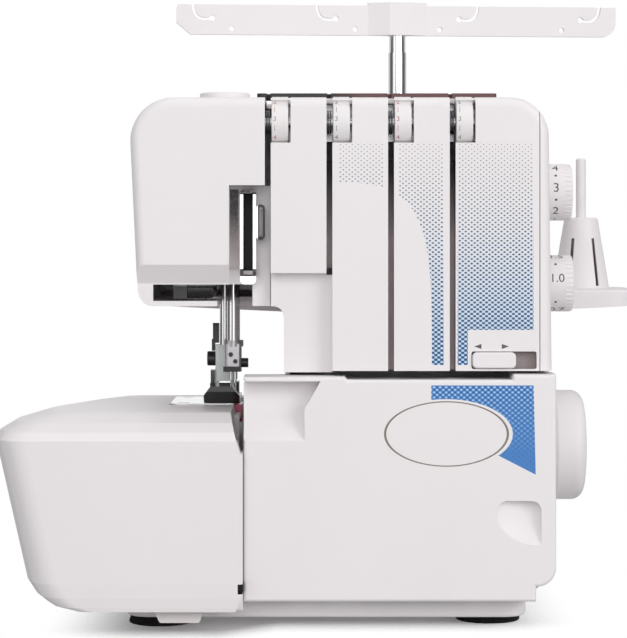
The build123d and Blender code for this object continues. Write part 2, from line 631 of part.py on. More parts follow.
# Tension discs: a pair of polished discs on each post, where the thread runs
with BuildPart() as tension_discs:
    for slot_x in SLOT_XS:
        for disc_x in (slot_x - 0.2 - DISC_THICKNESS, slot_x + 0.2):
            disc = (disc_x, disc_x + DISC_THICKNESS)
            rod_x(disc, DIAL_AXIS_Y, DIAL_AXIS_Z, DISC_RADIUS)
            rod_x(disc, DIAL_AXIS_Y, DIAL_AXIS_Z, TENSION_SHAFT_RADIUS, Mode.SUBTRACT)
save(tension_discs, "tension_discs")

# Tension dials: numbered drums that turn on the posts and press the discs
for number, slot_x in enumerate(SLOT_XS):
    dial_left = slot_x + SLOT_WIDTH / 2 + MOVING_GAP
    with BuildPart() as tension_dial:
        rod_x((dial_left, dial_left + DIAL_WIDTH), DIAL_AXIS_Y, DIAL_AXIS_Z, DIAL_RADIUS)
        fillet(tension_dial.edges().filter_by(GeomType.CIRCLE), 0.5)
        rod_x(
            (dial_left, dial_left + DIAL_WIDTH),
            DIAL_AXIS_Y,
            DIAL_AXIS_Z,
            TENSION_SHAFT_RADIUS + RUNNING_GAP,
            Mode.SUBTRACT,
        )
    save(tension_dial, f"tension_dial_{number + 1}")

# Width slider: thumb button on a foot that runs behind the panel
with BuildPart() as width_slider:
    slider_x = (SLIDER_SLOT_X[0] + MOVING_GAP, SLIDER_SLOT_X[0] + MOVING_GAP + SLIDER_LENGTH)
    slider_z = (SLIDER_SLOT_Z[0] + MOVING_GAP, SLIDER_SLOT_Z[1] - MOVING_GAP)
    block(slider_x, (PANEL_Y - 1.6, PANEL_Y + WALL + MOVING_GAP), slider_z)
    fillet(width_slider.edges().filter_by(Axis.Y), 2 * SLIDER_CORNER)
    fillet(width_slider.faces().sort_by(Axis.Y)[0].edges(), 1.0)
    block(
        (slider_x[0] + 2.0, slider_x[1] - 2.0),
        (PANEL_Y + WALL + MOVING_GAP, PANEL_Y + WALL + MOVING_GAP + SLIDER_FOOT),
        (slider_z[0] - 0.6, slider_z[1] + 2.4),
    )
save(width_slider, "width_slider")

# Head cover: face cover with the lamp opening, the bar opening and the thread recess
LAMP_SEAT_Y = PILLAR_Y + WALL
OPENING_RIGHT_X = SLOT_XS[0] - 8.0
with BuildPart() as head_cover:
    add(body_shell.part)
    block((SLOT_XS[0] - SLOT_WIDTH / 2, FAR), (-FAR, FAR), (RECESS_TOP_Z, FAR), Mode.SUBTRACT)
    block((FIRST_PANEL_X - SEAM_GAP, FAR), (-FAR, FAR), (0, RECESS_TOP_Z), Mode.SUBTRACT)
    block((-FAR, FAR), (PARTING_Y - SEAM_GAP, FAR), (0, FAR), Mode.SUBTRACT)
    block((-FAR, FAR), (-FAR, FAR), (0, SHELF_Z + 1.0), Mode.SUBTRACT)
    block(
        (HEAD_LEFT_X + OPENING_MARGIN, OPENING_RIGHT_X),
        (PILLAR_Y - 1.0, RECESS_BACK_Y + WALL + 1.0),
        (HEAD_BOTTOM_Z + OPENING_LIP, BEVEL_FOOT_Z - 0.5),
        Mode.SUBTRACT,
    )
    block(
        (PRESSER_X - 20.0, NEEDLE_X + 12.0),
        (NEEDLE_Y - 25.0, FAR),
        (HEAD_BOTTOM_Z - 1.0, HEAD_BOTTOM_Z + WALL),
        Mode.SUBTRACT,
    )
    block(
        (PRESSER_X - 0.8, OPENING_RIGHT_X),
        (PILLAR_Y - 1.0, NEEDLE_Y - 24.0),
        (HEAD_BOTTOM_Z - 1.0, HEAD_BOTTOM_Z + OPENING_LIP + 1.0),
        Mode.SUBTRACT,
    )
    block(TAKE_UP_X, (RECESS_BACK_Y - 1.0, RECESS_BACK_Y + WALL), TAKE_UP_Z, Mode.SUBTRACT)
save(head_cover, "head_cover")

# Needle thread guides: polished take-up guard with its cap, a strip and a pressed eye in the recess
GUARD_CAP_HEIGHT = 4.8
EYE_PLATE = 1.2
EYE_SLOT = (15.6, 2.0)
EYE_RIM = 1.2
with BuildPart() as needle_thread_guides:
    block(GUARD_X, (RECESS_BACK_Y - GUARD_DEPTH, RECESS_BACK_Y), GUARD_Z)
    fillet(needle_thread_guides.edges().filter_by(Axis.Y).group_by(Axis.Z)[-1], 2.0)
    block(TAKE_UP_X, (-FAR, FAR), (GUARD_Z[0] - 1.0, TAKE_UP_Z[1]), Mode.SUBTRACT)
    cap_z = (GUARD_Z[0] - GUARD_CAP_HEIGHT, GUARD_Z[0])
    block(GUARD_X, (RECESS_BACK_Y - GUARD_DEPTH + 1.0, RECESS_BACK_Y), cap_z)
    fillet(needle_thread_guides.edges().filter_by(Axis.Y).group_by(Axis.Z)[0], GUARD_CAP_HEIGHT / 2)
    block((RECESS_X, RECESS_X + 4.4), (RECESS_BACK_Y - 1.2, RECESS_BACK_Y), (GUARD_Z[0] + 3.0, GUARD_Z[1]))
    ring_y = (RECESS_BACK_Y - GUARD_DEPTH, RECESS_BACK_Y - GUARD_DEPTH + EYE_PLATE)
    ring_x = SLOT_XS[0] - SLOT_WIDTH / 2 - EYE_SLOT[1] / 2 - EYE_RIM
    ring_z = RECESS_TOP_Z - 18.6
    with BuildSketch(Plane.XZ.offset(-ring_y[1])):
        with Locations((ring_x, ring_z)):
            SlotOverall(EYE_SLOT[0] + 2 * EYE_RIM, EYE_SLOT[1] + 2 * EYE_RIM, rotation=90)
            SlotOverall(EYE_SLOT[0], EYE_SLOT[1], rotation=90, mode=Mode.SUBTRACT)
    extrude(amount=EYE_PLATE)
    ring_foot = (ring_z - EYE_SLOT[0] / 2 - EYE_RIM / 2, ring_z - EYE_SLOT[0] / 2 + EYE_RIM / 2)
    block((ring_x - EYE_RIM / 2, ring_x + EYE_RIM / 2), (ring_y[0], RECESS_BACK_Y), ring_foot)
save(needle_thread_guides, "needle_thread_guides")

# Lamp: bright reflector with its socket and small tubular bulb, behind the opening under the face
LAMP_X = (HEAD_LEFT_X + 22.0, HEAD_LEFT_X + 46.0)
LAMP_Z = BEVEL_FOOT_Z - 3.0
LAMP_RADIUS = 5.0
LAMP_Y = LAMP_SEAT_Y + 13.0
with BuildPart() as lamp:
    block(LAMP_X, (LAMP_SEAT_Y, LAMP_Y + 7.0), (LAMP_Z + LAMP_RADIUS + 1.0, LAMP_Z + LAMP_RADIUS + 2.2))
    socket_x = (LAMP_X[0], LAMP_X[0] + 7.0)
    block(socket_x, (LAMP_Y - 5.0, LAMP_Y + 5.0), (LAMP_Z - 5.0, LAMP_Z + LAMP_RADIUS + 1.5))
    rod_x((socket_x[1] + 0.2, LAMP_X[1] - 2.0), LAMP_Y, LAMP_Z, LAMP_RADIUS)
    fillet(lamp.edges().filter_by(GeomType.CIRCLE).group_by(Axis.X)[-1], 4.0)
save(lamp, "lamp")

# Top thread guide: dark strip on the top, with a notch over each thread slot
GUIDE_PLATE_HEIGHT = 3.2
GUIDE_PLATE_Y = (DIAL_AXIS_Y + 12.0, DIAL_AXIS_Y + 24.0)
with BuildPart() as top_thread_guide:
    block((SLOT_XS[0] - 6.0, SLOT_XS[3] + 24.0), GUIDE_PLATE_Y, (TOP_Z, TOP_Z + GUIDE_PLATE_HEIGHT))
    fillet(top_thread_guide.edges().filter_by(Axis.Z), 3.0)
    for slot_x in SLOT_XS:
        block((slot_x - 1.0, slot_x + 1.0), (-FAR, GUIDE_PLATE_Y[0] + 5.0), (0, FAR), Mode.SUBTRACT)
        rod_z(slot_x, GUIDE_PLATE_Y[0] + 5.0, (0, FAR), 1.6, Mode.SUBTRACT)
save(top_thread_guide, "top_thread_guide")

# Foot pressure dial: low knob on the top whose stem presses the foot's spring
PRESSURE_DIAL_RADIUS = 13.5
PRESSURE_DIAL_HEIGHT = 7.0
STEM_RADIUS = 3.0
with BuildPart() as pressure_dial:
    knob_z = (TOP_Z + MOVING_GAP, TOP_Z + MOVING_GAP + PRESSURE_DIAL_HEIGHT)
    rod_z(PRESSER_X, PRESSER_Y, knob_z, PRESSURE_DIAL_RADIUS)
    fillet(pressure_dial.edges().group_by(Axis.Z)[-1], 0.8)
    rod_z(PRESSER_X, PRESSER_Y, (HIGH_LUG_Z[0] - 6.0, knob_z[0]), STEM_RADIUS)
save(pressure_dial, "pressure_dial")

# Presser spring: coil between the pressure stem and the presser bar's collar, hidden in the head
with BuildPart() as presser_spring:
    spring_z = (LOW_LUG_Z[1] + 20.0, HIGH_LUG_Z[0] - 6.3)
    rod_z(PRESSER_X, PRESSER_Y, spring_z, 4.0)
    rod_z(PRESSER_X, PRESSER_Y, spring_z, 3.2, Mode.SUBTRACT)
save(presser_spring, "presser_spring")

# Bearing bushes: bronze sleeves of the main shaft, the needle bar and the presser bar
with BuildPart() as bearing_bushes:
    for bearing in (LEFT_BEARING_X, RIGHT_BEARING_X):
        rod_x(bearing, SHAFT_Y, SHAFT_Z, BUSH_RADIUS)
        rod_x(bearing, SHAFT_Y, SHAFT_Z, SHAFT_RADIUS + RUNNING_GAP, Mode.SUBTRACT)
    for lug in (LOW_LUG_Z, HIGH_LUG_Z):
        rod_z(NEEDLE_X, NEEDLE_Y, lug, NEEDLE_BAR_RADIUS + 1.5)
        rod_z(NEEDLE_X, NEEDLE_Y, lug, NEEDLE_BAR_RADIUS + RUNNING_GAP, Mode.SUBTRACT)
    rod_z(PRESSER_X, PRESSER_Y, LOW_LUG_Z, PRESSER_RADIUS + 1.5)
    rod_z(PRESSER_X, PRESSER_Y, LOW_LUG_Z, PRESSER_RADIUS + RUNNING_GAP, Mode.SUBTRACT)
    rod_z(PRESSER_X, PRESSER_Y, HIGH_LUG_Z, PRESSER_RADIUS + 1.5)
    rod_z(PRESSER_X, PRESSER_Y, HIGH_LUG_Z, STEM_RADIUS + RUNNING_GAP, Mode.SUBTRACT)
save(bearing_bushes, "bearing_bushes")

# Needle bar: steel rod with the drive collar and its stud
NEEDLE_BAR_Z = (PLATE_Z + NEEDLE_BAR_FOOT, PLATE_Z + NEEDLE_BAR_FOOT + NEEDLE_BAR_LENGTH)
COLLAR_Z = (ROCK_Z - 13.0, ROCK_Z - 5.0)
STUD_RADIUS = 2.0
STUD_X = (NEEDLE_X, NEEDLE_X + 11.6)
STUD_Z = (COLLAR_Z[0] + COLLAR_Z[1]) / 2
with BuildPart() as needle_bar:
    rod_z(NEEDLE_X, NEEDLE_Y, NEEDLE_BAR_Z, NEEDLE_BAR_RADIUS)
    rod_z(NEEDLE_X, NEEDLE_Y, COLLAR_Z, NEEDLE_BAR_RADIUS + 2.0)
    rod_x(STUD_X, NEEDLE_Y, STUD_Z, STUD_RADIUS)
save(needle_bar, "needle_bar")

# Needle clamp: block with a ring on the bar's foot, and a hole for each needle
CLAMP_HALF = 4.4
CLAMP_Z = (PLATE_Z + 16.3, PLATE_Z + 31.2)
NEEDLE_XS = (NEEDLE_X - NEEDLE_SPACING / 2, NEEDLE_X + NEEDLE_SPACING / 2)
NEEDLE_SHANK_RADIUS = 1.0
NEEDLE_SHANK_Z = PLATE_Z + 12.0
with BuildPart() as needle_clamp:
    block((NEEDLE_X - CLAMP_HALF, NEEDLE_X + CLAMP_HALF), (NEEDLE_Y - 5.0, NEEDLE_Y + 4.5), CLAMP_Z)
    fillet(needle_clamp.edges().filter_by(Axis.Z), 1.5)
    ring = (CLAMP_Z[1] - 1.5, CLAMP_Z[1] + 1.8)
    rod_z(NEEDLE_X, NEEDLE_Y, ring, CLAMP_HALF + 1.0)
    rod_z(NEEDLE_X, NEEDLE_Y, (NEEDLE_BAR_Z[0], ring[1]), NEEDLE_BAR_RADIUS, Mode.SUBTRACT)
    for needle_x in NEEDLE_XS:
        rod_z(needle_x, NEEDLE_Y, (CLAMP_Z[0], NEEDLE_BAR_Z[0]), NEEDLE_SHANK_RADIUS, Mode.SUBTRACT)
save(needle_clamp, "needle_clamp")

# Needles: two pointed needles held in the clamp
with BuildPart() as needles:
    for needle_x in NEEDLE_XS:
        rod_z(needle_x, NEEDLE_Y, (NEEDLE_SHANK_Z, NEEDLE_BAR_Z[0]), NEEDLE_SHANK_RADIUS)
        rod_z(needle_x, NEEDLE_Y, (PLATE_Z - NEEDLE_REACH + 3.0, NEEDLE_SHANK_Z), NEEDLE_RADIUS)
        with Locations((needle_x, NEEDLE_Y, PLATE_Z - NEEDLE_REACH + 1.5)):
            Cone(0.08, NEEDLE_RADIUS, 3.0)
save(needles, "needles")

# Needle screws: two small set screws, a thumb screw and the thread guide under the clamp, all black
with BuildPart() as needle_screws:
    for needle_x, screw_rise in zip(NEEDLE_XS, (9.2, 5.6)):
        rod_y(needle_x, (NEEDLE_Y - 6.6, NEEDLE_Y - 5.0), CLAMP_Z[0] + screw_rise, 1.2)
    rod_x((NEEDLE_X + CLAMP_HALF, NEEDLE_X + 8.0), NEEDLE_Y, CLAMP_Z[0] + 4.6, 2.5)
    guide_x = (NEEDLE_X - CLAMP_HALF - 0.8, NEEDLE_X + CLAMP_HALF - 0.6)
    block(guide_x, (NEEDLE_Y - 6.4, NEEDLE_Y - 5.0), (CLAMP_Z[0], CLAMP_Z[0] + 2.8))
save(needle_screws, "needle_screws")

# Needle bar rocker: arm and rock shaft that lift the bar through a slotted end
ROCKER_X = (NEEDLE_X + 7.8, NEEDLE_X + 10.8)
with BuildPart() as needle_rocker:
    with BuildSketch(Plane.YZ.offset(ROCKER_X[0])) as rocker_side:
        with Locations((ROCK_Y, ROCK_Z)):
            Circle(7.0)
        with Locations((NEEDLE_Y + 1.0, STUD_Z)):
            Circle(9.0)
        make_hull()
    extrude(amount=ROCKER_X[1] - ROCKER_X[0])
    with BuildSketch(Plane.YZ.offset(ROCKER_X[0])):
        with Locations((NEEDLE_Y + 0.4, STUD_Z)):
            SlotOverall(2 * STUD_RADIUS + 8.0, 2 * STUD_RADIUS + 4.0, rotation=14.0)
    extrude(amount=ROCKER_X[1] - ROCKER_X[0], mode=Mode.SUBTRACT)
    rod_x((ROCKER_X[0], NEEDLE_X + 74.0), ROCK_Y, ROCK_Z, ROCK_RADIUS)
save(needle_rocker, "needle_rocker")

# Presser bar: steel rod with a collar and the arm that the lifter raises
PRESSER_BAR_Z = (PLATE_Z + 12.0, LOW_LUG_Z[1] + 20.0)
PRESSER_COLLAR_Z = (LOW_LUG_Z[1] + 6.0, LOW_LUG_Z[1] + 12.0)
with BuildPart() as presser_bar:
    rod_z(PRESSER_X, PRESSER_Y, PRESSER_BAR_Z, PRESSER_RADIUS)
    rod_z(PRESSER_X, PRESSER_Y, PRESSER_COLLAR_Z, 4.6)
    lift_arm_z = (LIFTER_Z + 5.4, LIFTER_Z + 9.4)
    block((PRESSER_X - 3.0, PRESSER_X + 3.0), (PRESSER_Y, LIFTER_Y + 8.0), lift_arm_z)
save(presser_bar, "presser_bar")

# Foot holder: pale ankle block on the presser bar, with arms that hold the foot's cross pin
HOLDER_Z = (PLATE_Z + 10.5, PLATE_Z + 30.0)
FOOT_PIN_Z = PLATE_Z + 8.0
FOOT_PIN_RADIUS = 1.4
HOLDER_X = (PRESSER_X - 5.0, PRESSER_X + 5.0)
RELEASE_PIVOT_Y = PRESSER_Y + 3.8
RELEASE_PIVOT_Z = PLATE_Z + 28.4
RELEASE_PIN_RADIUS = 1.0
with BuildPart() as foot_holder:
    block(HOLDER_X, (PRESSER_Y - 4.5, PRESSER_Y + 5.5), HOLDER_Z)
    fillet(foot_holder.edges().filter_by(Axis.Z), 1.5)
    for arm in (-4.0, 4.0):
        arm_x = (PRESSER_X + arm - 1.0, PRESSER_X + arm + 1.0)
        block(arm_x, (PRESSER_Y - 3.0, PRESSER_Y + 3.0), (FOOT_PIN_Z - 2.4, HOLDER_Z[0]))
        rod_x(arm_x, PRESSER_Y, FOOT_PIN_Z, FOOT_PIN_RADIUS + RUNNING_GAP, Mode.SUBTRACT)
    rod_z(PRESSER_X, PRESSER_Y, (PRESSER_BAR_Z[0], HOLDER_Z[1]), PRESSER_RADIUS, Mode.SUBTRACT)
    release_hole = (HOLDER_X[0], HOLDER_X[0] + 2.0)
    rod_x(release_hole, RELEASE_PIVOT_Y, RELEASE_PIVOT_Z, RELEASE_PIN_RADIUS + RUNNING_GAP, Mode.SUBTRACT)
save(foot_holder, "foot_holder")

# Foot screw: black thumb screw that clamps the holder to the bar
with BuildPart() as foot_screw:
    rod_x((PRESSER_X - 9.5, PRESSER_X - 5.0), PRESSER_Y, PLATE_Z + 22.6, 3.9)
    fillet(foot_screw.edges().group_by(Axis.X)[0], 0.6)
save(foot_screw, "foot_screw")

# Foot release lever: small black lever at the holder's left that lets the foot drop off
with BuildPart() as foot_release:
    lever_x = (HOLDER_X[0] - MOVING_GAP - 1.8, HOLDER_X[0] - MOVING_GAP)
    lever_y = (RELEASE_PIVOT_Y - 1.6, RELEASE_PIVOT_Y + 3.5)
    finger_x = (lever_x[0] + 0.6, PRESSER_X - PRESSER_RADIUS - 0.55)
    finger_z = (HOLDER_Z[1] + 0.9, RELEASE_PIVOT_Z + 13.2)
    block(lever_x, lever_y, (RELEASE_PIVOT_Z - 1.8, finger_z[0] + 2.0))
    block(finger_x, lever_y, finger_z)
    fillet(foot_release.edges().filter_by(Axis.X).group_by(Axis.Z)[-1], 1.0)
    rod_x((lever_x[1], HOLDER_X[0] + 1.6), RELEASE_PIVOT_Y, RELEASE_PIVOT_Z, RELEASE_PIN_RADIUS)
save(foot_release, "foot_release")

# Presser foot: black foot with an upturned toe and an open window round the needles
FOOT_X = (NEEDLE_X - 15.0, NEEDLE_X + 4.0)
FOOT_Y = (NEEDLE_Y - 26.0, NEEDLE_Y + 24.0)
FOOT_GAP = 0.35
HEEL_RELIEF = 1.2
TOE_RISE = 9.7
TOE_SLOPE = 4.5
with BuildPart() as presser_foot:
    with BuildSketch(Plane.YZ.offset(FOOT_X[0])):
        with BuildLine():
            Polyline(
                (FOOT_Y[0], PLATE_Z + TOE_RISE - 2.8),
                (FOOT_Y[0] + 9.0, PLATE_Z + FOOT_GAP),
                (PRESSER_Y, PLATE_Z + FOOT_GAP),
                (FOOT_Y[1], PLATE_Z + FOOT_GAP + HEEL_RELIEF),
                (FOOT_Y[1], PLATE_Z + FOOT_GAP + 3.2),
                (FOOT_Y[0] + 10.0, PLATE_Z + FOOT_GAP + 3.6),
                (FOOT_Y[0], PLATE_Z + TOE_RISE),
                close=True,
            )
        make_face()
    extrude(amount=FOOT_X[1] - FOOT_X[0])
    fillet(presser_foot.edges().filter_by(Axis.Z), 2.0)
    with BuildSketch(Plane.XZ.offset(-FOOT_Y[1])):
        for edge_x, inward in ((FOOT_X[0], 1), (FOOT_X[1], -1)):
            with BuildLine():
                Polyline(
                    (edge_x - inward, PLATE_Z + FOOT_GAP + 3.0),
                    (edge_x + inward * TOE_SLOPE, PLATE_Z + TOE_RISE + 1.0),
                    (edge_x - inward, PLATE_Z + TOE_RISE + 1.0),
                    close=True,
                )
            make_face()
    extrude(amount=FOOT_Y[1] - FOOT_Y[0] + 1.0, mode=Mode.SUBTRACT)
    block((NEEDLE_X - 3.4, NEEDLE_X + 3.0), (NEEDLE_Y - 6.0, NEEDLE_Y + 3.0), (0, FAR), Mode.SUBTRACT)
    for cheek, cheek_top in ((PRESSER_X - 7.5, PLATE_Z + 16.5), (PRESSER_X + 5.6, PLATE_Z + 10.3)):
        block((cheek, cheek + 2.2), (PRESSER_Y - 5.0, PRESSER_Y + 7.0), (PLATE_Z + 2.0, cheek_top))
    rod_x((FOOT_X[0] + 2.0, PRESSER_X + 7.0), PRESSER_Y, FOOT_PIN_Z, FOOT_PIN_RADIUS)
save(presser_foot, "presser_foot")

# Presser lifter: lever through the back of the head that raises the presser bar
LIFTER_X = (PRESSER_X - 4.0, PRESSER_X + 4.0)
LIFTER_REACH = 50.0
with BuildPart() as presser_lifter:
    rod_x(LIFTER_X, LIFTER_Y, LIFTER_Z, 5.0)
    block(LIFTER_X, (LIFTER_Y, LIFTER_Y + LIFTER_REACH), (LIFTER_Z - 2.0, LIFTER_Z + 3.0))
    fillet(presser_lifter.edges().filter_by(Axis.X).group_by(Axis.Y)[-1], 1.8)
    lifter_pin = (LIFTER_WINDOW_X[0] - LIFTER_EAR, LIFTER_WINDOW_X[1] + LIFTER_EAR)
    rod_x(lifter_pin, LIFTER_Y, LIFTER_Z, LIFTER_PIN_RADIUS)
save(presser_lifter, "presser_lifter")

# Needle plate: polished plate on the free arm with the needle hole and the feed slots
FEED_ROWS = (PRESSER_X - 6.0, PRESSER_X - 1.0)
FEED_ROW_WIDTH = 2.4
FEED_SLOT_Y = (NEEDLE_Y - 12.0, PLATE_Y[1] - 12.0)
PLATE_SCREW_X = PLATE_X[0] + 7.0
PLATE_SCREW_YS = (PLATE_Y[0] + 6.0, PLATE_Y[1] - 6.0)
PLATE_SCREW_RADIUS = 3.0
with BuildPart() as needle_plate:
    block(PLATE_X, PLATE_Y, (PLATE_Z - PLATE_THICKNESS, PLATE_Z))
    fillet(needle_plate.edges().filter_by(Axis.Z), 3.0)
    block((NEEDLE_X - 3.0, NEEDLE_X + 2.6), (NEEDLE_Y - 3.0, NEEDLE_Y + 3.0), (0, FAR), Mode.SUBTRACT)
    for row in FEED_ROWS:
        row_x = (row - FEED_ROW_WIDTH / 2 - 0.5, row + FEED_ROW_WIDTH / 2 + 0.5)
        block(row_x, FEED_SLOT_Y, (0, FAR), Mode.SUBTRACT)
    for screw_y in PLATE_SCREW_YS:
        rod_z(PLATE_SCREW_X, screw_y, (PLATE_Z - 1.0, FAR), PLATE_SCREW_RADIUS, Mode.SUBTRACT)
save(needle_plate, "needle_plate")

# Fixing screws: cross-head screws in the back and slotted screws in the needle plate
with BuildPart() as fixing_screws:
    for screw_x, screw_z in FRAME_BOSSES:
        rod_y(screw_x, (BACK_Y - SCREW_HEAD_DEPTH, BACK_Y - 0.4), screw_z, SCREW_HEAD_RADIUS - 0.2)
        for long, short in ((1.8, 0.4), (0.4, 1.8)):
            block(
                (screw_x - long, screw_x + long),
                (BACK_Y - 1.2, BACK_Y),
                (screw_z - short, screw_z + short),
                Mode.SUBTRACT,
            )
    for screw_y in PLATE_SCREW_YS:
        rod_z(PLATE_SCREW_X, screw_y, (PLATE_Z - 1.0, PLATE_Z), PLATE_SCREW_RADIUS - 0.2)
        block(
            (PLATE_SCREW_X - 4.0, PLATE_SCREW_X + 4.0),
            (screw_y - 0.4, screw_y + 0.4),
            (PLATE_Z - 0.5, FAR),
            Mode.SUBTRACT,
        )
save(fixing_screws, "fixing_screws")

# Feed dogs: toothed bars under the plate, the main one at the back and the differential in front
FEED_BAR_Z = (BED_ARM_Z[1] + 8.0, BED_ARM_Z[1] + 14.0)
FEED_SPANS = ((NEEDLE_Y + 5.0, FEED_SLOT_Y[1] - 4.0), (NEEDLE_Y - 11.0, NEEDLE_Y + 1.5))
TOOTH_PITCH = 2.0
with BuildPart() as feed_dogs:
    for span in FEED_SPANS:
        for row in FEED_ROWS:
            row_x = (row - FEED_ROW_WIDTH / 2, row + FEED_ROW_WIDTH / 2)
            block(row_x, span, (FEED_BAR_Z[0], PLATE_Z - 0.2))
            for tooth in range(int((span[1] - span[0]) / TOOTH_PITCH)):
                tooth_y = span[0] + TOOTH_PITCH * (tooth + 0.5)
                block(row_x, (tooth_y, tooth_y + 0.8), (PLATE_Z - 0.8, FAR), Mode.SUBTRACT)
        block((PLATE_X[0] + 4.0, FEED_ROWS[1]), (span[0] + 2.0, span[0] + 8.0), FEED_BAR_Z)
save(feed_dogs, "feed_dogs")

# Free arm cover: moulded arm under the table that the needle plate lies on
with BuildPart() as free_arm_cover:
    arm_z = (ARM_TOP_Z - ARM_HEIGHT, ARM_TOP_Z)
    block((ARM_X, ARM_RIGHT_X), ARM_Y, arm_z)
    fillet(free_arm_cover.edges().filter_by(Axis.Z).group_by(Axis.X)[0], 16.0)
    block(
        (ARM_X + WALL, ARM_RIGHT_X + 1.0),
        (ARM_Y[0] + WALL, ARM_Y[1] - WALL),
        (arm_z[0] + WALL, arm_z[1] - WALL),
        Mode.SUBTRACT,
    )
    block(
        (PLATE_X[0] + 1.0, ARM_RIGHT_X),
        (PLATE_Y[0] + 1.0, PLATE_Y[1] - 1.0),
        (ARM_TOP_Z, PLATE_Z - PLATE_THICKNESS),
    )
    block(
        (FEED_ROWS[0] - 3.0, ARM_RIGHT_X + 1.0),
        (FEED_SLOT_Y[0] - 1.0, FEED_SLOT_Y[1] + 1.0),
        (ARM_TOP_Z - 2 * WALL, FAR),
        Mode.SUBTRACT,
    )
    block(
        (GUARD_CAP_X[0] - 1.0, ARM_RIGHT_X + 1.0),
        (KNIFE_Y[0] - 6.5, KNIFE_Y[1] + 1.0),
        (PLATE_Z - 30.0, FAR),
        Mode.SUBTRACT,
    )
save(free_arm_cover, "free_arm_cover")

# Lower knife: fixed blade at the plate's right edge
LOWER_KNIFE_X = (CUT_X - 2.2, CUT_X - 0.2)
with BuildPart() as lower_knife:
    block(LOWER_KNIFE_X, KNIFE_Y, (PLATE_Z - 26.0, PLATE_Z))
save(lower_knife, "lower_knife")

# Knife guard: red plastic cap in front of the lower knife
with BuildPart() as knife_guard:
    guard_z = (PLATE_Z - 9.3, PLATE_Z - 0.2)
    block(GUARD_CAP_X, (KNIFE_Y[0] - 5.5, PLATE_Y[0] - 0.3), guard_z)
    fillet(knife_guard.edges().filter_by(Axis.Y).group_by(Axis.Z)[-1], 1.2)
    block(LOWER_KNIFE_X, (PLATE_Y[0] - 0.3, KNIFE_Y[0]), guard_z)
save(knife_guard, "knife_guard")

# Upper knife: moving blade on its arm, just right of the cutting line
UPPER_KNIFE_X = (CUT_X + 0.4, CUT_X + 2.8)
with BuildPart() as upper_knife:
    block(UPPER_KNIFE_X, KNIFE_Y, (PLATE_Z - 20.0, PLATE_Z + 13.0))
    fillet(upper_knife.edges().filter_by(Axis.X).group_by(Axis.Z)[-1], 2.0)
    block((UPPER_KNIFE_X[0], UPPER_KNIFE_X[1] + 11.0), KNIFE_Y, (PLATE_Z - 28.0, PLATE_Z - 20.0))
save(upper_knife, "upper_knife")

# Lower looper: curved steel hook on a rock shaft along Y, behind the needles
LOOPER_THICKNESS = 1.6
LOWER_LOOPER_Y = (NEEDLE_Y + 1.1, NEEDLE_Y + 1.1 + LOOPER_THICKNESS)
LOWER_TIP = (NEEDLE_X + 4.5, PLATE_Z - 9.0)
with BuildPart() as lower_looper:
    with BuildSketch(Plane.XZ.offset(-LOWER_LOOPER_Y[1])):
        with BuildLine():
            Polyline(
                LOWER_TIP,
                (NEEDLE_X + 12.0, LOWER_TIP[1] + 1.6),
                (NEEDLE_X + 15.0, LOWER_TIP[1] - 4.0),
                (NEEDLE_X + 16.0, LOOPER_SHAFT_Z + 12.0),
                (LOOPER_SHAFT_X, LOOPER_SHAFT_Z + 5.0),
                (LOOPER_SHAFT_X, LOOPER_SHAFT_Z - 5.0),
                (NEEDLE_X + 10.0, LOOPER_SHAFT_Z + 4.0),
                (NEEDLE_X + 9.5, LOWER_TIP[1] - 6.0),
                (NEEDLE_X + 8.5, LOWER_TIP[1] - 1.6),
                close=True,
            )
        make_face()
    extrude(amount=LOOPER_THICKNESS)
    rod_y(LOOPER_SHAFT_X, (NEEDLE_Y - 3.0, NEEDLE_Y + 6.0), LOOPER_SHAFT_Z, 5.0)
    rod_y(LOOPER_SHAFT_X, (NEEDLE_Y, FRAME_Y - 1.0), LOOPER_SHAFT_Z, LOOPER_SHAFT_RADIUS)
save(lower_looper, "lower_looper")

# Upper looper: curved steel hook on a rod that slides up and left in a guide
UPPER_LOOPER_Y = (NEEDLE_Y - 1.1 - LOOPER_THICKNESS, NEEDLE_Y - 1.1)
UPPER_TIP = (NEEDLE_X + 11.5, PLATE_Z - 3.0)
ROD_LENGTH = 30.0
ROD_RADIUS = 2.2
ROD_TILT = 30.0
ROD_X = math.sin(math.radians(ROD_TILT))
ROD_Z = math.cos(math.radians(ROD_TILT))
ROD_TOP = (UPPER_TIP[0] + 7.0, UPPER_TIP[1] - 10.0)
with BuildPart() as upper_looper:
    with BuildSketch(Plane.XZ.offset(-UPPER_LOOPER_Y[1])):
        with BuildLine():
            Polyline(
                UPPER_TIP,
                (UPPER_TIP[0] + 5.0, UPPER_TIP[1] - 1.5),
                (UPPER_TIP[0] + 9.5, UPPER_TIP[1] - 6.0),
                (ROD_TOP[0] + 3.5, ROD_TOP[1] - 2.0),
                (ROD_TOP[0] - 1.5, ROD_TOP[1] - 4.0),
                (UPPER_TIP[0] + 5.5, UPPER_TIP[1] - 6.0),
                (UPPER_TIP[0] + 3.0, UPPER_TIP[1] - 2.6),
                close=True,
            )
        make_face()
    extrude(amount=LOOPER_THICKNESS)
    rod_middle = (ROD_TOP[0] + ROD_X * ROD_LENGTH / 2, ROD_TOP[1] - ROD_Z * ROD_LENGTH / 2)
    upper_y = (UPPER_LOOPER_Y[0] + UPPER_LOOPER_Y[1]) / 2
    with Locations(Location((rod_middle[0], upper_y, rod_middle[1]), (0, -ROD_TILT, 0))):
        Cylinder(ROD_RADIUS, ROD_LENGTH)
save(upper_looper, "upper_looper")

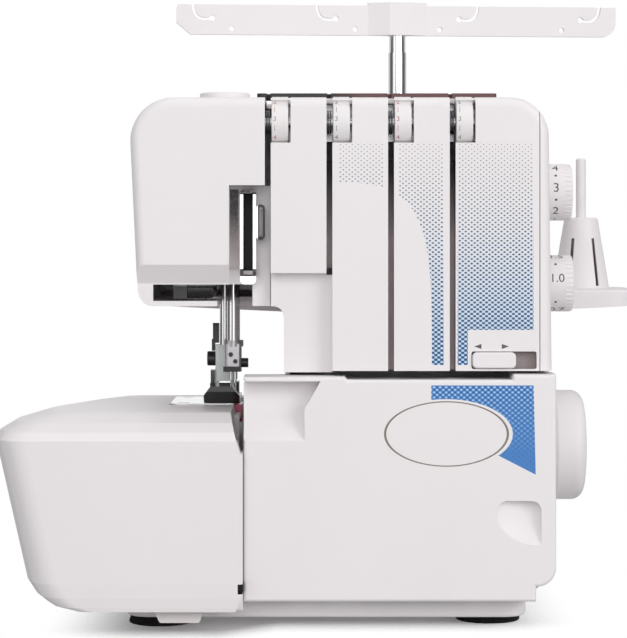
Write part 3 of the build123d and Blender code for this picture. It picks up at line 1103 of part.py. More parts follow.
# Machine frame: aluminium casting with the back plate, bearing walls, bed arm, lugs and guides
with BuildPart() as machine_frame:
    extrude(body_outline(FRAME_INSET, FRAME_BACK_Y), amount=FRAME_THICKNESS)
    block((END_SEAM_X - FRAME_INSET, FAR), (-FAR, FAR), (0, FAR), Mode.SUBTRACT)
    block(LIFTER_WINDOW_X, (-FAR, FAR), LIFTER_WINDOW_Z, Mode.SUBTRACT)
    foot_span = (LEFT_BEARING_X[0], RIGHT_BEARING_X[1])
    block(foot_span, (FRAME_Y - 14.0, FRAME_BACK_Y), (BASE_Z + TRAY_FLOOR, SEAT_Z + FRAME_INSET))
    for bearing in (LEFT_BEARING_X, RIGHT_BEARING_X):
        block(bearing, (SHAFT_Y - 14.0, FRAME_Y), (BASE_Z + TRAY_FLOOR, SHAFT_Z + 15.0))
        rod_x(bearing, SHAFT_Y, SHAFT_Z, BUSH_RADIUS, Mode.SUBTRACT)
    rod_x(RIGHT_BEARING_X, MOTOR_Y, MOTOR_Z, MOTOR_SHAFT_RADIUS + 2.0, Mode.SUBTRACT)
    block((ARM_X + 8.0, LEFT_BEARING_X[0]), BED_ARM_Y, BED_ARM_Z)
    for pillar_x in (ARM_X + 16.0, PLATE_X[0] + 8.0):
        rod_z(pillar_x, BED_ARM_Y[0] + 10.0, (BED_ARM_Z[0], ARM_TOP_Z - WALL), FRAME_BOSS_RADIUS)
    for lug in (LOW_LUG_Z, HIGH_LUG_Z):
        block((PRESSER_X - 8.0, ROCKER_X[0] - 0.6), (NEEDLE_Y - 8.0, FRAME_Y), lug)
    for ear_x in (LIFTER_WINDOW_X[0] - LIFTER_EAR, LIFTER_WINDOW_X[1]):
        ear = (ear_x, ear_x + LIFTER_EAR)
        block(ear, (LIFTER_Y - 5.0, FRAME_Y), (LIFTER_Z - 5.0, LIFTER_Z + 5.0))
        rod_x(ear, LIFTER_Y, LIFTER_Z, LIFTER_PIN_RADIUS + RUNNING_GAP, Mode.SUBTRACT)
    for bar_x, bar_y, bar_radius in (
        (NEEDLE_X, NEEDLE_Y, NEEDLE_BAR_RADIUS + 1.5),
        (PRESSER_X, PRESSER_Y, PRESSER_RADIUS + 1.5),
    ):
        rod_z(bar_x, bar_y, (LOW_LUG_Z[0], HIGH_LUG_Z[1]), bar_radius, Mode.SUBTRACT)
    block((NEEDLE_X + 14.0, NEEDLE_X + 20.0), (ROCK_Y - 8.0, FRAME_Y), (ROCK_Z - 8.0, ROCK_Z + 8.0))
    block((NEEDLE_X + 64.0, NEEDLE_X + 70.0), (ROCK_Y - 8.0, FRAME_Y), (ROCK_Z - 8.0, ROCK_Z + 8.0))
    rod_x((NEEDLE_X, NEEDLE_X + 80.0), ROCK_Y, ROCK_Z, ROCK_RADIUS + RUNNING_GAP, Mode.SUBTRACT)
    rod_y(
        LOOPER_SHAFT_X,
        (FRAME_Y - 30.0, FRAME_Y),
        LOOPER_SHAFT_Z,
        LOOPER_SHAFT_RADIUS + 4.0,
    )
    rod_y(
        LOOPER_SHAFT_X,
        (FRAME_Y - 31.0, FRAME_BACK_Y),
        LOOPER_SHAFT_Z,
        LOOPER_SHAFT_RADIUS + RUNNING_GAP,
        Mode.SUBTRACT,
    )
    feed_guide = (PLATE_X[0] + 2.0, PLATE_X[0] + 14.0)
    block(feed_guide, (NEEDLE_Y - 16.0, BED_ARM_Y[1]), (BED_ARM_Z[1], FEED_BAR_Z[0] - MOVING_GAP))
    guide_centre = (ROD_TOP[0] + ROD_X * 20.0, ROD_TOP[1] - ROD_Z * 20.0)
    block(
        (guide_centre[0] - 6.0, LEFT_BEARING_X[0]),
        (SHAFT_Y - 12.0, upper_y + 6.0),
        (guide_centre[1] - 5.0, guide_centre[1] + 5.0),
    )
    with Locations(Location((rod_middle[0], upper_y, rod_middle[1]), (0, -ROD_TILT, 0))):
        Cylinder(ROD_RADIUS + RUNNING_GAP, 3 * ROD_LENGTH, mode=Mode.SUBTRACT)
save(machine_frame, "machine_frame")

# Main shaft: crankshaft along X with three eccentrics and the belt pulley shrunk on
ECCENTRIC_RADIUS = 10.0
ECCENTRIC_THROW = 4.0
WHEEL_X = (RIGHT_X + 3.5, RIGHT_X + 21.7)
SHAFT_X = (LEFT_BEARING_X[0] + 0.5, WHEEL_X[1] - 3.0)
with BuildPart() as main_shaft:
    rod_x(SHAFT_X, SHAFT_Y, SHAFT_Z, SHAFT_RADIUS)
    for place, angle in ((12.0, 90.0), (30.0, 210.0), (48.0, 330.0)):
        eccentric_x = (LEFT_BEARING_X[1] + place, LEFT_BEARING_X[1] + place + 7.0)
        throw_y = ECCENTRIC_THROW * math.cos(math.radians(angle))
        throw_z = ECCENTRIC_THROW * math.sin(math.radians(angle))
        rod_x(eccentric_x, SHAFT_Y + throw_y, SHAFT_Z + throw_z, ECCENTRIC_RADIUS)
    rod_x(PULLEY_X, SHAFT_Y, SHAFT_Z, PULLEY_RADIUS)
save(main_shaft, "main_shaft")

# Handwheel: crowned wheel on the right end of the shaft, with a dished face
WHEEL_RADIUS = 29.0
WHEEL_ROUND = 6.5
WHEEL_DISH = 3.0
with BuildPart() as handwheel:
    with BuildSketch(Plane.XZ.offset(-SHAFT_Y)):
        rim_z = SHAFT_Z + WHEEL_RADIUS
        round_start = (WHEEL_X[1] - WHEEL_ROUND, rim_z)
        round_end = (WHEEL_X[1], rim_z - WHEEL_ROUND)
        round_in = WHEEL_ROUND * (1.0 - math.sqrt(0.5))
        with BuildLine():
            Polyline(
                (WHEEL_X[1] - WHEEL_DISH, SHAFT_Z + SHAFT_RADIUS),
                (WHEEL_X[0], SHAFT_Z + SHAFT_RADIUS),
                (WHEEL_X[0], rim_z - 1.5),
                (WHEEL_X[0] + 3.0, rim_z),
                round_start,
            )
            ThreePointArc(round_start, (WHEEL_X[1] - round_in, rim_z - round_in), round_end)
            Polyline(
                round_end,
                (WHEEL_X[1] - WHEEL_DISH, round_end[1] - 4.0),
                (WHEEL_X[1] - WHEEL_DISH, SHAFT_Z + SHAFT_RADIUS),
            )
        make_face()
    revolve(axis=Axis((0, SHAFT_Y, SHAFT_Z), (1, 0, 0)))
save(handwheel, "handwheel")

# Motor: round can with its stator, bolted to the right bearing wall, hollow for the rotor
MOTOR_X = (RIGHT_BEARING_X[0] - MOTOR_LENGTH, RIGHT_BEARING_X[0])
with BuildPart() as motor:
    rod_x(MOTOR_X, MOTOR_Y, MOTOR_Z, MOTOR_RADIUS)
    fillet(motor.edges().group_by(Axis.X)[0], 3.0)
    bore_x = (MOTOR_X[0] + MOTOR_END / 2, MOTOR_X[1] + 1.0)
    rod_x(bore_x, MOTOR_Y, MOTOR_Z, MOTOR_SHAFT_RADIUS + RUNNING_GAP, Mode.SUBTRACT)
    rotor_space = (MOTOR_X[0] + MOTOR_END, MOTOR_X[1] - MOTOR_END)
    rod_x(rotor_space, MOTOR_Y, MOTOR_Z, ROTOR_RADIUS + ROTOR_GAP, Mode.SUBTRACT)
save(motor, "motor")

# Motor pulley: small pulley turned in one piece with the motor's shaft and rotor
with BuildPart() as motor_pulley:
    rod_x((bore_x[0] + 1.0, PULLEY_X[1] + 1.0), MOTOR_Y, MOTOR_Z, MOTOR_SHAFT_RADIUS)
    rod_x((rotor_space[0] + 2.0, rotor_space[1] - 2.0), MOTOR_Y, MOTOR_Z, ROTOR_RADIUS)
    rod_x(PULLEY_X, MOTOR_Y, MOTOR_Z, MOTOR_PULLEY_RADIUS)
save(motor_pulley, "motor_pulley")


# Drive belt: rubber loop round the two pulleys
def belt_loop(grow):
    """Outline round both pulleys, let out by the given distance."""
    with BuildSketch(Plane.YZ.offset(PULLEY_X[0] + 0.5)) as loop:
        with Locations((SHAFT_Y, SHAFT_Z)):
            Circle(PULLEY_RADIUS + grow)
        with Locations((MOTOR_Y, MOTOR_Z)):
            Circle(MOTOR_PULLEY_RADIUS + grow)
        make_hull()
    return loop.sketch


with BuildPart() as drive_belt:
    extrude(belt_loop(BELT_GAP + BELT_THICKNESS), amount=PULLEY_WIDTH - 1.0)
    extrude(belt_loop(BELT_GAP), amount=PULLEY_WIDTH - 1.0, mode=Mode.SUBTRACT)
save(drive_belt, "drive_belt")

# Side dials: numbered drums with a ribbed rim, for stitch length and differential feed
DRUM_LENGTH = 11.0
RIM_LENGTH = 4.2
RIM_GROOVE_COUNT = 36
RIM_GROOVE_RADIUS = 0.6
for dial_name, dial_z in (("stitch_length_dial", LENGTH_DIAL_Z), ("differential_dial", DIFFERENTIAL_DIAL_Z)):
    drum_x = side_x(dial_z - SIDE_DIAL_RADIUS) + MOVING_GAP
    with BuildPart() as side_dial:
        rod_x((drum_x, drum_x + DRUM_LENGTH + RIM_LENGTH), SIDE_DIAL_Y, dial_z, SIDE_DIAL_RADIUS)
        fillet(side_dial.edges().group_by(Axis.X)[-1], 1.2)
        with BuildSketch(Plane.YZ.offset(drum_x + DRUM_LENGTH)):
            with Locations((SIDE_DIAL_Y, dial_z)):
                with PolarLocations(SIDE_DIAL_RADIUS, RIM_GROOVE_COUNT):
                    Circle(RIM_GROOVE_RADIUS)
        extrude(amount=RIM_LENGTH, mode=Mode.SUBTRACT)
        rod_x((drum_x - 9.0, drum_x), SIDE_DIAL_Y, dial_z, SIDE_STEM_RADIUS)
    save(side_dial, dial_name)


# Looper cover: hinged door over the loopers, with a finger scoop and a hollow at its top left
COVER_WALL = 3.0
COVER_TOP_Z = PANEL_FOOT_Z - 2.7
COVER_STEP_Z = PANEL_FOOT_Z - 1.5
COVER_DIP_Z = PANEL_FOOT_Z - 4.2
DIP_X = (COVER_LEFT_X + 52.0, RIGHT_X - 22.0)
COVER_CORNER = 9.5
TOE_X = RIGHT_X - COVER_CORNER - 0.5
TOE_Z = SEAT_Z + 7.5
HOLLOW_RIM_Z = COVER_TOP_Z - 2.2
HOLLOW_LENGTH = 38.5
HOLLOW_FOOT_LENGTH = 30.5
HOLLOW_SLANT = 14.0
HOLLOW_HEIGHT = 30.0
HOLLOW_DEPTH = 12.0
FINGER_X = (RIGHT_X - 29.5, RIGHT_X - 7.5)
FINGER_Z = (SEAT_Z + 24.0, SEAT_Z + 50.5)
FINGER_CORNER = 5.0
FINGER_DEPTH = 6.0
FINGER_DISH = 40.0
FINGER_BOSS = 20.0


def cover_outline(inset):
    """Front view of the door on its front plane, drawn in by the inset and open below when inset."""
    foot_z = SEAT_Z if inset == 0 else SEAT_Z - FAR
    left_x = COVER_LEFT_X if inset == 0 else COVER_LEFT_X - FAR
    toe_x = TOE_X - inset
    with BuildSketch(Plane.XZ.offset(-COVER_Y - COVER_DEPTH)) as outline:
        with BuildLine():
            Polyline(
                (left_x, foot_z),
                (left_x, COVER_TOP_Z - inset),
                (DIP_X[0] - 1.5, COVER_TOP_Z - inset),
                (DIP_X[0], COVER_DIP_Z - inset),
                (DIP_X[1], COVER_DIP_Z - inset),
                (DIP_X[1] + 0.8, COVER_STEP_Z - inset),
                (RIGHT_X - inset, COVER_STEP_Z - inset),
                (RIGHT_X - inset, TOE_Z + inset),
                (toe_x, TOE_Z + inset),
                (toe_x, foot_z),
                close=True,
            )
        make_face()
        fillet(outline.vertices().sort_by_distance((RIGHT_X - inset, TOE_Z + inset))[0], COVER_CORNER - inset)
    return outline.sketch


def hand_hollow(grow):
    """Hollow under the door's top left rim, deepest at the rim, let out by the given distance."""
    left_x = COVER_LEFT_X - 2.0
    with BuildPart() as hollow:
        with BuildSketch(Plane.YZ.offset(left_x)):
            with BuildLine():
                inner = (COVER_Y + HOLLOW_DEPTH + grow, HOLLOW_RIM_Z + grow)
                foot = (COVER_Y, HOLLOW_RIM_Z - HOLLOW_HEIGHT - grow)
                Bezier(inner, (inner[0] + 1.0, HOLLOW_RIM_Z - HOLLOW_HEIGHT / 2), foot)
                Polyline(foot, (-FAR, foot[1]), (-FAR, inner[1]), inner)
            make_face()
        extrude(amount=HOLLOW_LENGTH + 2.0 + grow)
        with BuildSketch(Plane.XZ.offset(FAR)):
            with BuildLine():
                Polyline(
                    (left_x, HOLLOW_RIM_Z + grow),
                    (COVER_LEFT_X + HOLLOW_LENGTH + grow, HOLLOW_RIM_Z + grow),
                    (COVER_LEFT_X + HOLLOW_FOOT_LENGTH + grow, HOLLOW_RIM_Z - HOLLOW_SLANT),
                    (COVER_LEFT_X + HOLLOW_FOOT_LENGTH + grow, HOLLOW_RIM_Z - HOLLOW_HEIGHT - grow),
                    (left_x, HOLLOW_RIM_Z - HOLLOW_HEIGHT - grow),
                    close=True,
                )
            make_face()
        extrude(amount=-2 * FAR, mode=Mode.INTERSECT)
    return hollow.part


with BuildPart() as cover_hollow:
    extrude(cover_outline(COVER_WALL), amount=COVER_DEPTH - COVER_WALL)
    add(hand_hollow(COVER_WALL), mode=Mode.SUBTRACT)
    boss_y = (COVER_Y, COVER_Y + FINGER_DEPTH + COVER_WALL)
    rod_y(FINGER_X[1] - 8.0, boss_y, FINGER_Z[1] - 9.0, FINGER_BOSS, Mode.SUBTRACT)

with BuildPart() as finger_scoop:
    with BuildSketch(Plane.XZ.offset(-COVER_Y - FINGER_DEPTH)):
        with Locations((sum(FINGER_X) / 2, sum(FINGER_Z) / 2)):
            RectangleRounded(FINGER_X[1] - FINGER_X[0], FINGER_Z[1] - FINGER_Z[0], FINGER_CORNER)
    extrude(amount=2 * FINGER_DEPTH)
    with Locations((FINGER_X[1] - 3.0, COVER_Y + FINGER_DEPTH - FINGER_DISH, FINGER_Z[1] - 1.0)):
        Sphere(FINGER_DISH, mode=Mode.INTERSECT)

with BuildPart() as looper_cover:
    extrude(cover_outline(0), amount=COVER_DEPTH)
    fillet(looper_cover.faces().sort_by(Axis.Y)[0].edges(), 1.6)
    add(hand_hollow(0), mode=Mode.SUBTRACT)
    add(cover_hollow.part, mode=Mode.SUBTRACT)
    add(finger_scoop.part, mode=Mode.SUBTRACT)
    for knuckle_x in KNUCKLE_XS:
        knuckle = (knuckle_x - KNUCKLE_LENGTH / 2, knuckle_x + KNUCKLE_LENGTH / 2)
        knuckle_z = (HINGE_Z - KNUCKLE_RADIUS, HINGE_Z + KNUCKLE_RADIUS)
        block(knuckle, (COVER_Y + COVER_WALL - 0.5, HINGE_Y), knuckle_z)
        rod_x(knuckle, HINGE_Y, HINGE_Z, KNUCKLE_RADIUS)
        rod_x(knuckle, HINGE_Y, HINGE_Z, HINGE_ROD_RADIUS + RUNNING_GAP, Mode.SUBTRACT)
save(looper_cover, "looper_cover")

# Cover rod: steel wire that the door swings on and that slides sideways in the tray's ears
with BuildPart() as cover_rod:
    rod_end = KNUCKLE_LENGTH / 2 + 0.8
    rod_x((KNUCKLE_XS[0] - rod_end, KNUCKLE_XS[1] + rod_end), HINGE_Y, HINGE_Z, HINGE_ROD_RADIUS)
save(cover_rod, "cover_rod")


# Extension table: hollow moulding that slides off the free arm to the left
TABLE_BACK_Y = BACK_Y + TABLE_BACK_OVERLAP
TABLE_WIDEST_DROP = 12.6


def table_section(z, inset, left, front, back):
    """Plan of the table at one height, with its left end curving in towards the back."""
    near = FRONT_Y + front + inset
    far = TABLE_BACK_Y - back - inset
    end = LEFT_X + left + inset
    right = TABLE_RIGHT_X if inset == 0 else TABLE_RIGHT_X + 10.0
    with BuildSketch(Plane.XY.offset(z)) as section:
        with BuildLine():
            Polyline(
                (right, near),
                (end + 7.0, near),
                (end, near + 24.0),
                (end, near + 44.0),
                (end + 20.0, far - 30.0),
                (end + 34.0, far),
                (right, far),
                close=True,
            )
        make_face()
        for corner, radius in (
            ((end + 7.0, near), 14.0),
            ((end, near + 24.0), 30.0),
            ((end, near + 44.0), 30.0),
            ((end + 20.0, far - 30.0), 40.0),
            ((end + 34.0, far), 12.0),
        ):
            fillet(section.vertices().sort_by_distance(corner)[0], radius)
    return section.sketch


def table_form(inset):
    """Outside of the table, or its hollow when inset: tapered skirt, then a soft bevel to the top."""
    foot = TABLE_FOOT_Z if inset == 0 else TABLE_FOOT_Z - 4.0
    widest = TABLE_TOP_Z - TABLE_WIDEST_DROP
    with BuildPart() as form:
        rings = [
            (foot, 34.0, 2.5, 3.0),
            (foot + 2.2, 26.5, 2.0, 2.5),
            (foot + 7.0, 20.5, 1.4, 2.0),
            (foot + 14.0, 16.0, 1.0, 1.5),
            (widest, 0.0, 0.0, 0.0),
            (widest + 4.2, 2.0, 3.6, 0.4),
            (widest + 8.4, 9.0, 11.0, 1.4),
            (TABLE_TOP_Z - inset, 25.0, 25.0, 3.0),
        ]
        loft([table_section(z, inset, left, front, back) for z, left, front, back in rings], ruled=True)
    return form.part


NOTCH_Y = (PLATE_Y[0] - 0.6, PLATE_Y[1] + 0.6)
KNIFE_SLOT_HEIGHT = 19.0
TABLE_HEEL = (4.0, 8.0)
TABLE_RETURN = 14.0
RELEASE_X = (CUT_X - 42.5, CUT_X - 17.5)
RELEASE_TAB_Y = (FRONT_Y + 10.0, FRONT_Y + 14.0)
RELEASE_AXIS_Y = (RELEASE_TAB_Y[0] + RELEASE_TAB_Y[1]) / 2
RELEASE_AXIS_Z = TABLE_FOOT_Z + 4.0
CHEEK = 2.0
CHEEK_PIN_RADIUS = 1.2
with BuildPart() as table_return:
    add(table_form(0))
    return_x = (TABLE_RIGHT_X - TABLE_WALL, TABLE_RIGHT_X)
    block(return_x, (-FAR, COVER_Y + TABLE_RETURN), (0, FAR), Mode.INTERSECT)

with BuildPart() as extension_table:
    add(table_form(0))
    add(table_form(TABLE_WALL), mode=Mode.SUBTRACT)
    add(table_return.part)
    block((PLATE_X[0] - 0.6, FAR), NOTCH_Y, (TABLE_TOP_Z - 2 * TABLE_WALL, FAR), Mode.SUBTRACT)
    block((GUARD_CAP_X[0] - 0.6, FAR), (KNIFE_Y[0] - 5.9, NOTCH_Y[1]), (SEAT_Z, FAR), Mode.SUBTRACT)
    block((TABLE_RIGHT_X - 2.4, FAR), (-FAR, COVER_Y), (SEAT_Z + 5.0, SEAT_Z + 10.0), Mode.SUBTRACT)
    with BuildSketch(Plane.XZ.offset(-KNIFE_Y[0])):
        with BuildLine():
            Polyline(
                (TABLE_RIGHT_X + 1.0, TABLE_TOP_Z - KNIFE_SLOT_HEIGHT),
                (TABLE_RIGHT_X - 1.2, TABLE_TOP_Z - KNIFE_SLOT_HEIGHT),
                (GUARD_CAP_X[0] - 0.6, TABLE_TOP_Z + 1.0),
                (TABLE_RIGHT_X + 1.0, TABLE_TOP_Z + 1.0),
                close=True,
            )
        make_face()
    extrude(amount=FAR, mode=Mode.SUBTRACT)
    with BuildSketch(Plane.XZ.offset(-COVER_Y)):
        with BuildLine():
            Polyline(
                (TABLE_RIGHT_X + 1.0, TABLE_FOOT_Z + TABLE_HEEL[1]),
                (TABLE_RIGHT_X, TABLE_FOOT_Z + TABLE_HEEL[1]),
                (TABLE_RIGHT_X - TABLE_HEEL[0], TABLE_FOOT_Z - 1.0),
                (TABLE_RIGHT_X + 1.0, TABLE_FOOT_Z - 1.0),
                close=True,
            )
        make_face()
    extrude(amount=FAR, mode=Mode.SUBTRACT)
    for cheek_x in (RELEASE_X[0] - MOVING_GAP - CHEEK, RELEASE_X[1] + MOVING_GAP):
        cheek = (cheek_x, cheek_x + CHEEK)
        block(cheek, (FRONT_Y + 3.0, RELEASE_TAB_Y[1]), (TABLE_FOOT_Z + 1.0, TABLE_FOOT_Z + 8.0))
        rod_x(cheek, RELEASE_AXIS_Y, RELEASE_AXIS_Z, CHEEK_PIN_RADIUS + RUNNING_GAP, Mode.SUBTRACT)
save(extension_table, "extension_table")

# Table release: finger tab hinged inside the table's front wall
with BuildPart() as table_release:
    with BuildSketch(Plane.XZ.offset(-RELEASE_TAB_Y[1])):
        with BuildLine():
            Polyline(
                (RELEASE_X[0], RELEASE_AXIS_Z + 2.0),
                (RELEASE_X[0], TABLE_FOOT_Z),
                (RELEASE_X[0] + 3.0, TABLE_FOOT_Z - 6.5),
                (RELEASE_X[1] - 2.0, TABLE_FOOT_Z - 6.5),
                (RELEASE_X[1], TABLE_FOOT_Z),
                (RELEASE_X[1], RELEASE_AXIS_Z + 2.0),
                close=True,
            )
        make_face()
    extrude(amount=RELEASE_TAB_Y[1] - RELEASE_TAB_Y[0])
    fillet(table_release.edges().filter_by(Axis.Y).group_by(Axis.Z)[0], 1.5)
    pin_reach = MOVING_GAP + CHEEK
    pin_x = (RELEASE_X[0] - pin_reach, RELEASE_X[1] + pin_reach)
    rod_x(pin_x, RELEASE_AXIS_Y, RELEASE_AXIS_Z, CHEEK_PIN_RADIUS)
save(table_release, "table_release")

# Spool stand: hollow shelf behind the body that carries the spools and the pole
with BuildPart() as spool_stand:
    stand_y = (BACK_Y + STAND_GAP, STAND_BACK_Y)
    stand_x = (POLE_X - STAND_HALF, STAND_RIGHT_X)
    root_half = STAND_HALF * 0.45
    with BuildSketch(Plane.XZ.offset(-stand_y[1])):
        with BuildLine():
            Polyline(
                (stand_x[0], STAND_TOP_Z),
                (stand_x[1], STAND_TOP_Z),
                (stand_x[1], STAND_TOP_Z - STAND_END_THICKNESS),
                (POLE_X + root_half, STAND_TOP_Z - STAND_THICKNESS),
                (POLE_X - root_half, STAND_TOP_Z - STAND_THICKNESS),
                (stand_x[0], STAND_TOP_Z - STAND_END_THICKNESS),
                close=True,
            )
        make_face()
    extrude(amount=stand_y[1] - stand_y[0])
    fillet(spool_stand.edges().filter_by(Axis.Z), 18.0)
    fillet(spool_stand.faces().sort_by(Axis.Z)[-1].edges(), 1.5)
    with BuildSketch(Plane.XY.offset(STAND_TOP_Z - 2 * STAND_THICKNESS)):
        with Locations((POLE_X, (stand_y[0] + stand_y[1]) / 2)):
            RectangleRounded(2 * (STAND_HALF - WALL), stand_y[1] - stand_y[0] - 2 * WALL, 18.0 - WALL)
    extrude(amount=2 * STAND_THICKNESS - WALL, mode=Mode.SUBTRACT)
    root_z = (STAND_TOP_Z - 11.0, STAND_TOP_Z - 2.0)
    block((POLE_X - 30.0, POLE_X + 30.0), (BACK_Y, stand_y[0] + WALL), root_z)
    rod_z(POLE_X, POLE_Y, (STAND_TOP_Z - STAND_THICKNESS, STAND_TOP_Z), POLE_RADIUS + 4.0)
    rod_z(POLE_X, POLE_Y, (STAND_TOP_Z - STAND_THICKNESS, FAR), POLE_RADIUS, Mode.SUBTRACT)
    for pin_x in PIN_XS:
        rod_z(pin_x, PIN_Y, (STAND_TOP_Z - 9.0, STAND_TOP_Z), PIN_ROOT_RADIUS + 3.0)
        rod_z(pin_x, PIN_Y, (STAND_TOP_Z - 9.0, FAR), PIN_ROOT_RADIUS, Mode.SUBTRACT)
save(spool_stand, "spool_stand")

# Spool pins: four smooth pins pressed into the stand, with a thicker root through the cone holder
PIN_ROOT_Z = STAND_TOP_Z + CONE_HEIGHT + PIN_STEP
with BuildPart() as spool_pins:
    for pin_x in PIN_XS:
        rod_z(pin_x, PIN_Y, (STAND_TOP_Z - 9.0, PIN_ROOT_Z), PIN_ROOT_RADIUS)
        rod_z(pin_x, PIN_Y, (PIN_ROOT_Z, STAND_TOP_Z + PIN_HEIGHT), PIN_RADIUS)
    fillet(spool_pins.edges().group_by(Axis.Z)[-1], 1.2)
save(spool_pins, "spool_pins")

# Cone holders: tapered, slotted adaptors that stand over the pins and steady a thread cone
CONE_SLOT_COUNT = 6
CONE_SLOT_WIDTH = 2.0
CONE_SLOT_Z = (STAND_TOP_Z + 1.5, STAND_TOP_Z + 29.0)
with BuildPart() as cone_holders:
    with Locations([(x, PIN_Y, STAND_TOP_Z + CONE_HEIGHT / 2) for x in PIN_XS]):
        Cone(CONE_FOOT_RADIUS, CONE_TOP_RADIUS, CONE_HEIGHT)
    fillet(cone_holders.edges().group_by(Axis.Z)[-1], 1.5)
    for pin_x in PIN_XS:
        rod_z(pin_x, PIN_Y, (STAND_TOP_Z, FAR), PIN_ROOT_RADIUS, Mode.SUBTRACT)
        with BuildSketch(Plane.XY.offset(CONE_SLOT_Z[0])):
            with Locations((pin_x, PIN_Y)):
                with PolarLocations(CONE_FOOT_RADIUS, CONE_SLOT_COUNT):
                    Rectangle(12.0, CONE_SLOT_WIDTH)
        extrude(amount=CONE_SLOT_Z[1] - CONE_SLOT_Z[0], mode=Mode.SUBTRACT)
save(cone_holders, "cone_holders")

# Outer pole: chrome tube fixed in the stand
with BuildPart() as outer_pole:
    rod_z(POLE_X, POLE_Y, (STAND_TOP_Z - STAND_THICKNESS, POLE_TOP_Z), POLE_RADIUS)
    rod_z(POLE_X, POLE_Y, (STAND_TOP_Z - STAND_THICKNESS, POLE_TOP_Z), POLE_BORE, Mode.SUBTRACT)
save(outer_pole, "outer_pole")

# Inner pole: chrome rod that telescopes out of the tube
INNER_POLE_Z = (STAND_TOP_Z + 6.0, BAR_Z + BAR_HEIGHT - 2.0)
with BuildPart() as inner_pole:
    rod_z(POLE_X, POLE_Y, INNER_POLE_Z, INNER_POLE_RADIUS)
save(inner_pole, "inner_pole")

# Thread guide bar: moulded bar on the pole with an eye and an entry slot for each thread
EYE_STEPS = (-1.47, -0.49, 0.49, 1.47)
EYE_RADIUS = 1.7
EYE_HEIGHT = 9.5
MOUTH_STEP = 11.0
ENTRY_WIDTH = 1.6
BAR_SWIVEL = 4.6
BAR_CHAMFER = (8.0, 6.7)
HUB_HALF = 17.0
HUB_FLAT = 5.0
HUB_RISE = 1.5
HUB_RADIUS = 6.5
BAR_AXIS = (math.cos(math.radians(BAR_SWIVEL)), math.sin(math.radians(BAR_SWIVEL)), 0)
with BuildPart() as thread_guide_bar:
    bar_plane = Plane((POLE_X, POLE_Y, 0), x_dir=BAR_AXIS, z_dir=(BAR_AXIS[1], -BAR_AXIS[0], 0))
    bar_half = BAR_LENGTH / 2
    bar_top = BAR_Z + BAR_HEIGHT
    with BuildSketch(bar_plane.offset(-BAR_THICKNESS / 2)) as bar_face:
        with BuildLine():
            Polyline(
                (-bar_half, bar_top),
                (bar_half, bar_top),
                (bar_half, BAR_Z),
                (-bar_half + BAR_CHAMFER[0], BAR_Z),
                (-bar_half, BAR_Z + BAR_CHAMFER[1]),
                close=True,
            )
        make_face()
        fillet(bar_face.vertices().sort_by_distance((bar_half, BAR_Z))[0], BAR_CHAMFER[0])
        fillet(bar_face.vertices().sort_by_distance((-bar_half, bar_top))[0], 2.0)
        for step in EYE_STEPS:
            side = -1 if step < 0 else 1
            eye_x = step * PIN_PITCH
            with Locations((eye_x, BAR_Z + EYE_HEIGHT)):
                Circle(EYE_RADIUS, mode=Mode.SUBTRACT)
            with Locations((eye_x - side * MOUTH_STEP, BAR_Z + 3.6)):
                Circle(1.5, mode=Mode.SUBTRACT)
            with BuildLine() as entry:
                Bezier(
                    (eye_x, BAR_Z + EYE_HEIGHT),
                    (eye_x + side * MOUTH_STEP, BAR_Z + EYE_HEIGHT - 3.0),
                    (eye_x + side * MOUTH_STEP, bar_top + 1.0),
                )
            trace(line_width=ENTRY_WIDTH, mode=Mode.SUBTRACT)
    extrude(amount=BAR_THICKNESS)
    with BuildSketch(Plane((POLE_X, POLE_Y, BAR_Z), x_dir=BAR_AXIS, z_dir=(0, 0, 1))):
        with BuildLine():
            Polyline(
                (-HUB_HALF, BAR_THICKNESS / 2),
                (-HUB_HALF, -BAR_THICKNESS / 2),
                (-HUB_FLAT, -HUB_RADIUS),
                (HUB_FLAT, -HUB_RADIUS),
                (HUB_HALF, -BAR_THICKNESS / 2),
                (HUB_HALF, BAR_THICKNESS / 2),
                close=True,
            )
        make_face()
    extrude(amount=BAR_HEIGHT + HUB_RISE)
    rod_z(POLE_X, POLE_Y, (BAR_Z, BAR_Z + BAR_HEIGHT + HUB_RISE), HUB_RADIUS)
    socket_z = (BAR_Z - 1.0, INNER_POLE_Z[1] + MOVING_GAP)
    rod_z(POLE_X, POLE_Y, socket_z, INNER_POLE_RADIUS + RUNNING_GAP, Mode.SUBTRACT)
save(thread_guide_bar, "thread_guide_bar")
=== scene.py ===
import math

import bpy
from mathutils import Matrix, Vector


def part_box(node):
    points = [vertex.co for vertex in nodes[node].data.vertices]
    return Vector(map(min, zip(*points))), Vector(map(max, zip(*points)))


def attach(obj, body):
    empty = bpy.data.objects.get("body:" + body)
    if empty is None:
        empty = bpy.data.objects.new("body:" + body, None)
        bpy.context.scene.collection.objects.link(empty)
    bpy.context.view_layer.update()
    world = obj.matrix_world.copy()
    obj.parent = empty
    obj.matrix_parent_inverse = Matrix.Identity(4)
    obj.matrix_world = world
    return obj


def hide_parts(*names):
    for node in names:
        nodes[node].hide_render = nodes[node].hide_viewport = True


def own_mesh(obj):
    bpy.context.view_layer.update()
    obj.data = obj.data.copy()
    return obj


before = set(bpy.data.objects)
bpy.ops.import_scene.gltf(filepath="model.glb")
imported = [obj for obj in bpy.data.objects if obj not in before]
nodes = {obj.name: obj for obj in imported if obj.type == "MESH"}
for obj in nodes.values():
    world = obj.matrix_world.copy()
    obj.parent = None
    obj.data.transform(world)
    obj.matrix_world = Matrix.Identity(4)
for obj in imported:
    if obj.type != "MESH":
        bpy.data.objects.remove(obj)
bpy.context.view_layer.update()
bpy.ops.object.select_all(action="DESELECT")

# Rubber feet
# Four soft black pads, moulded in matt rubber and pressed into the tray's underside.
# They are slightly dusty, so their sheen is uneven. The drive belt is of the same rubber.
MM = 0.001


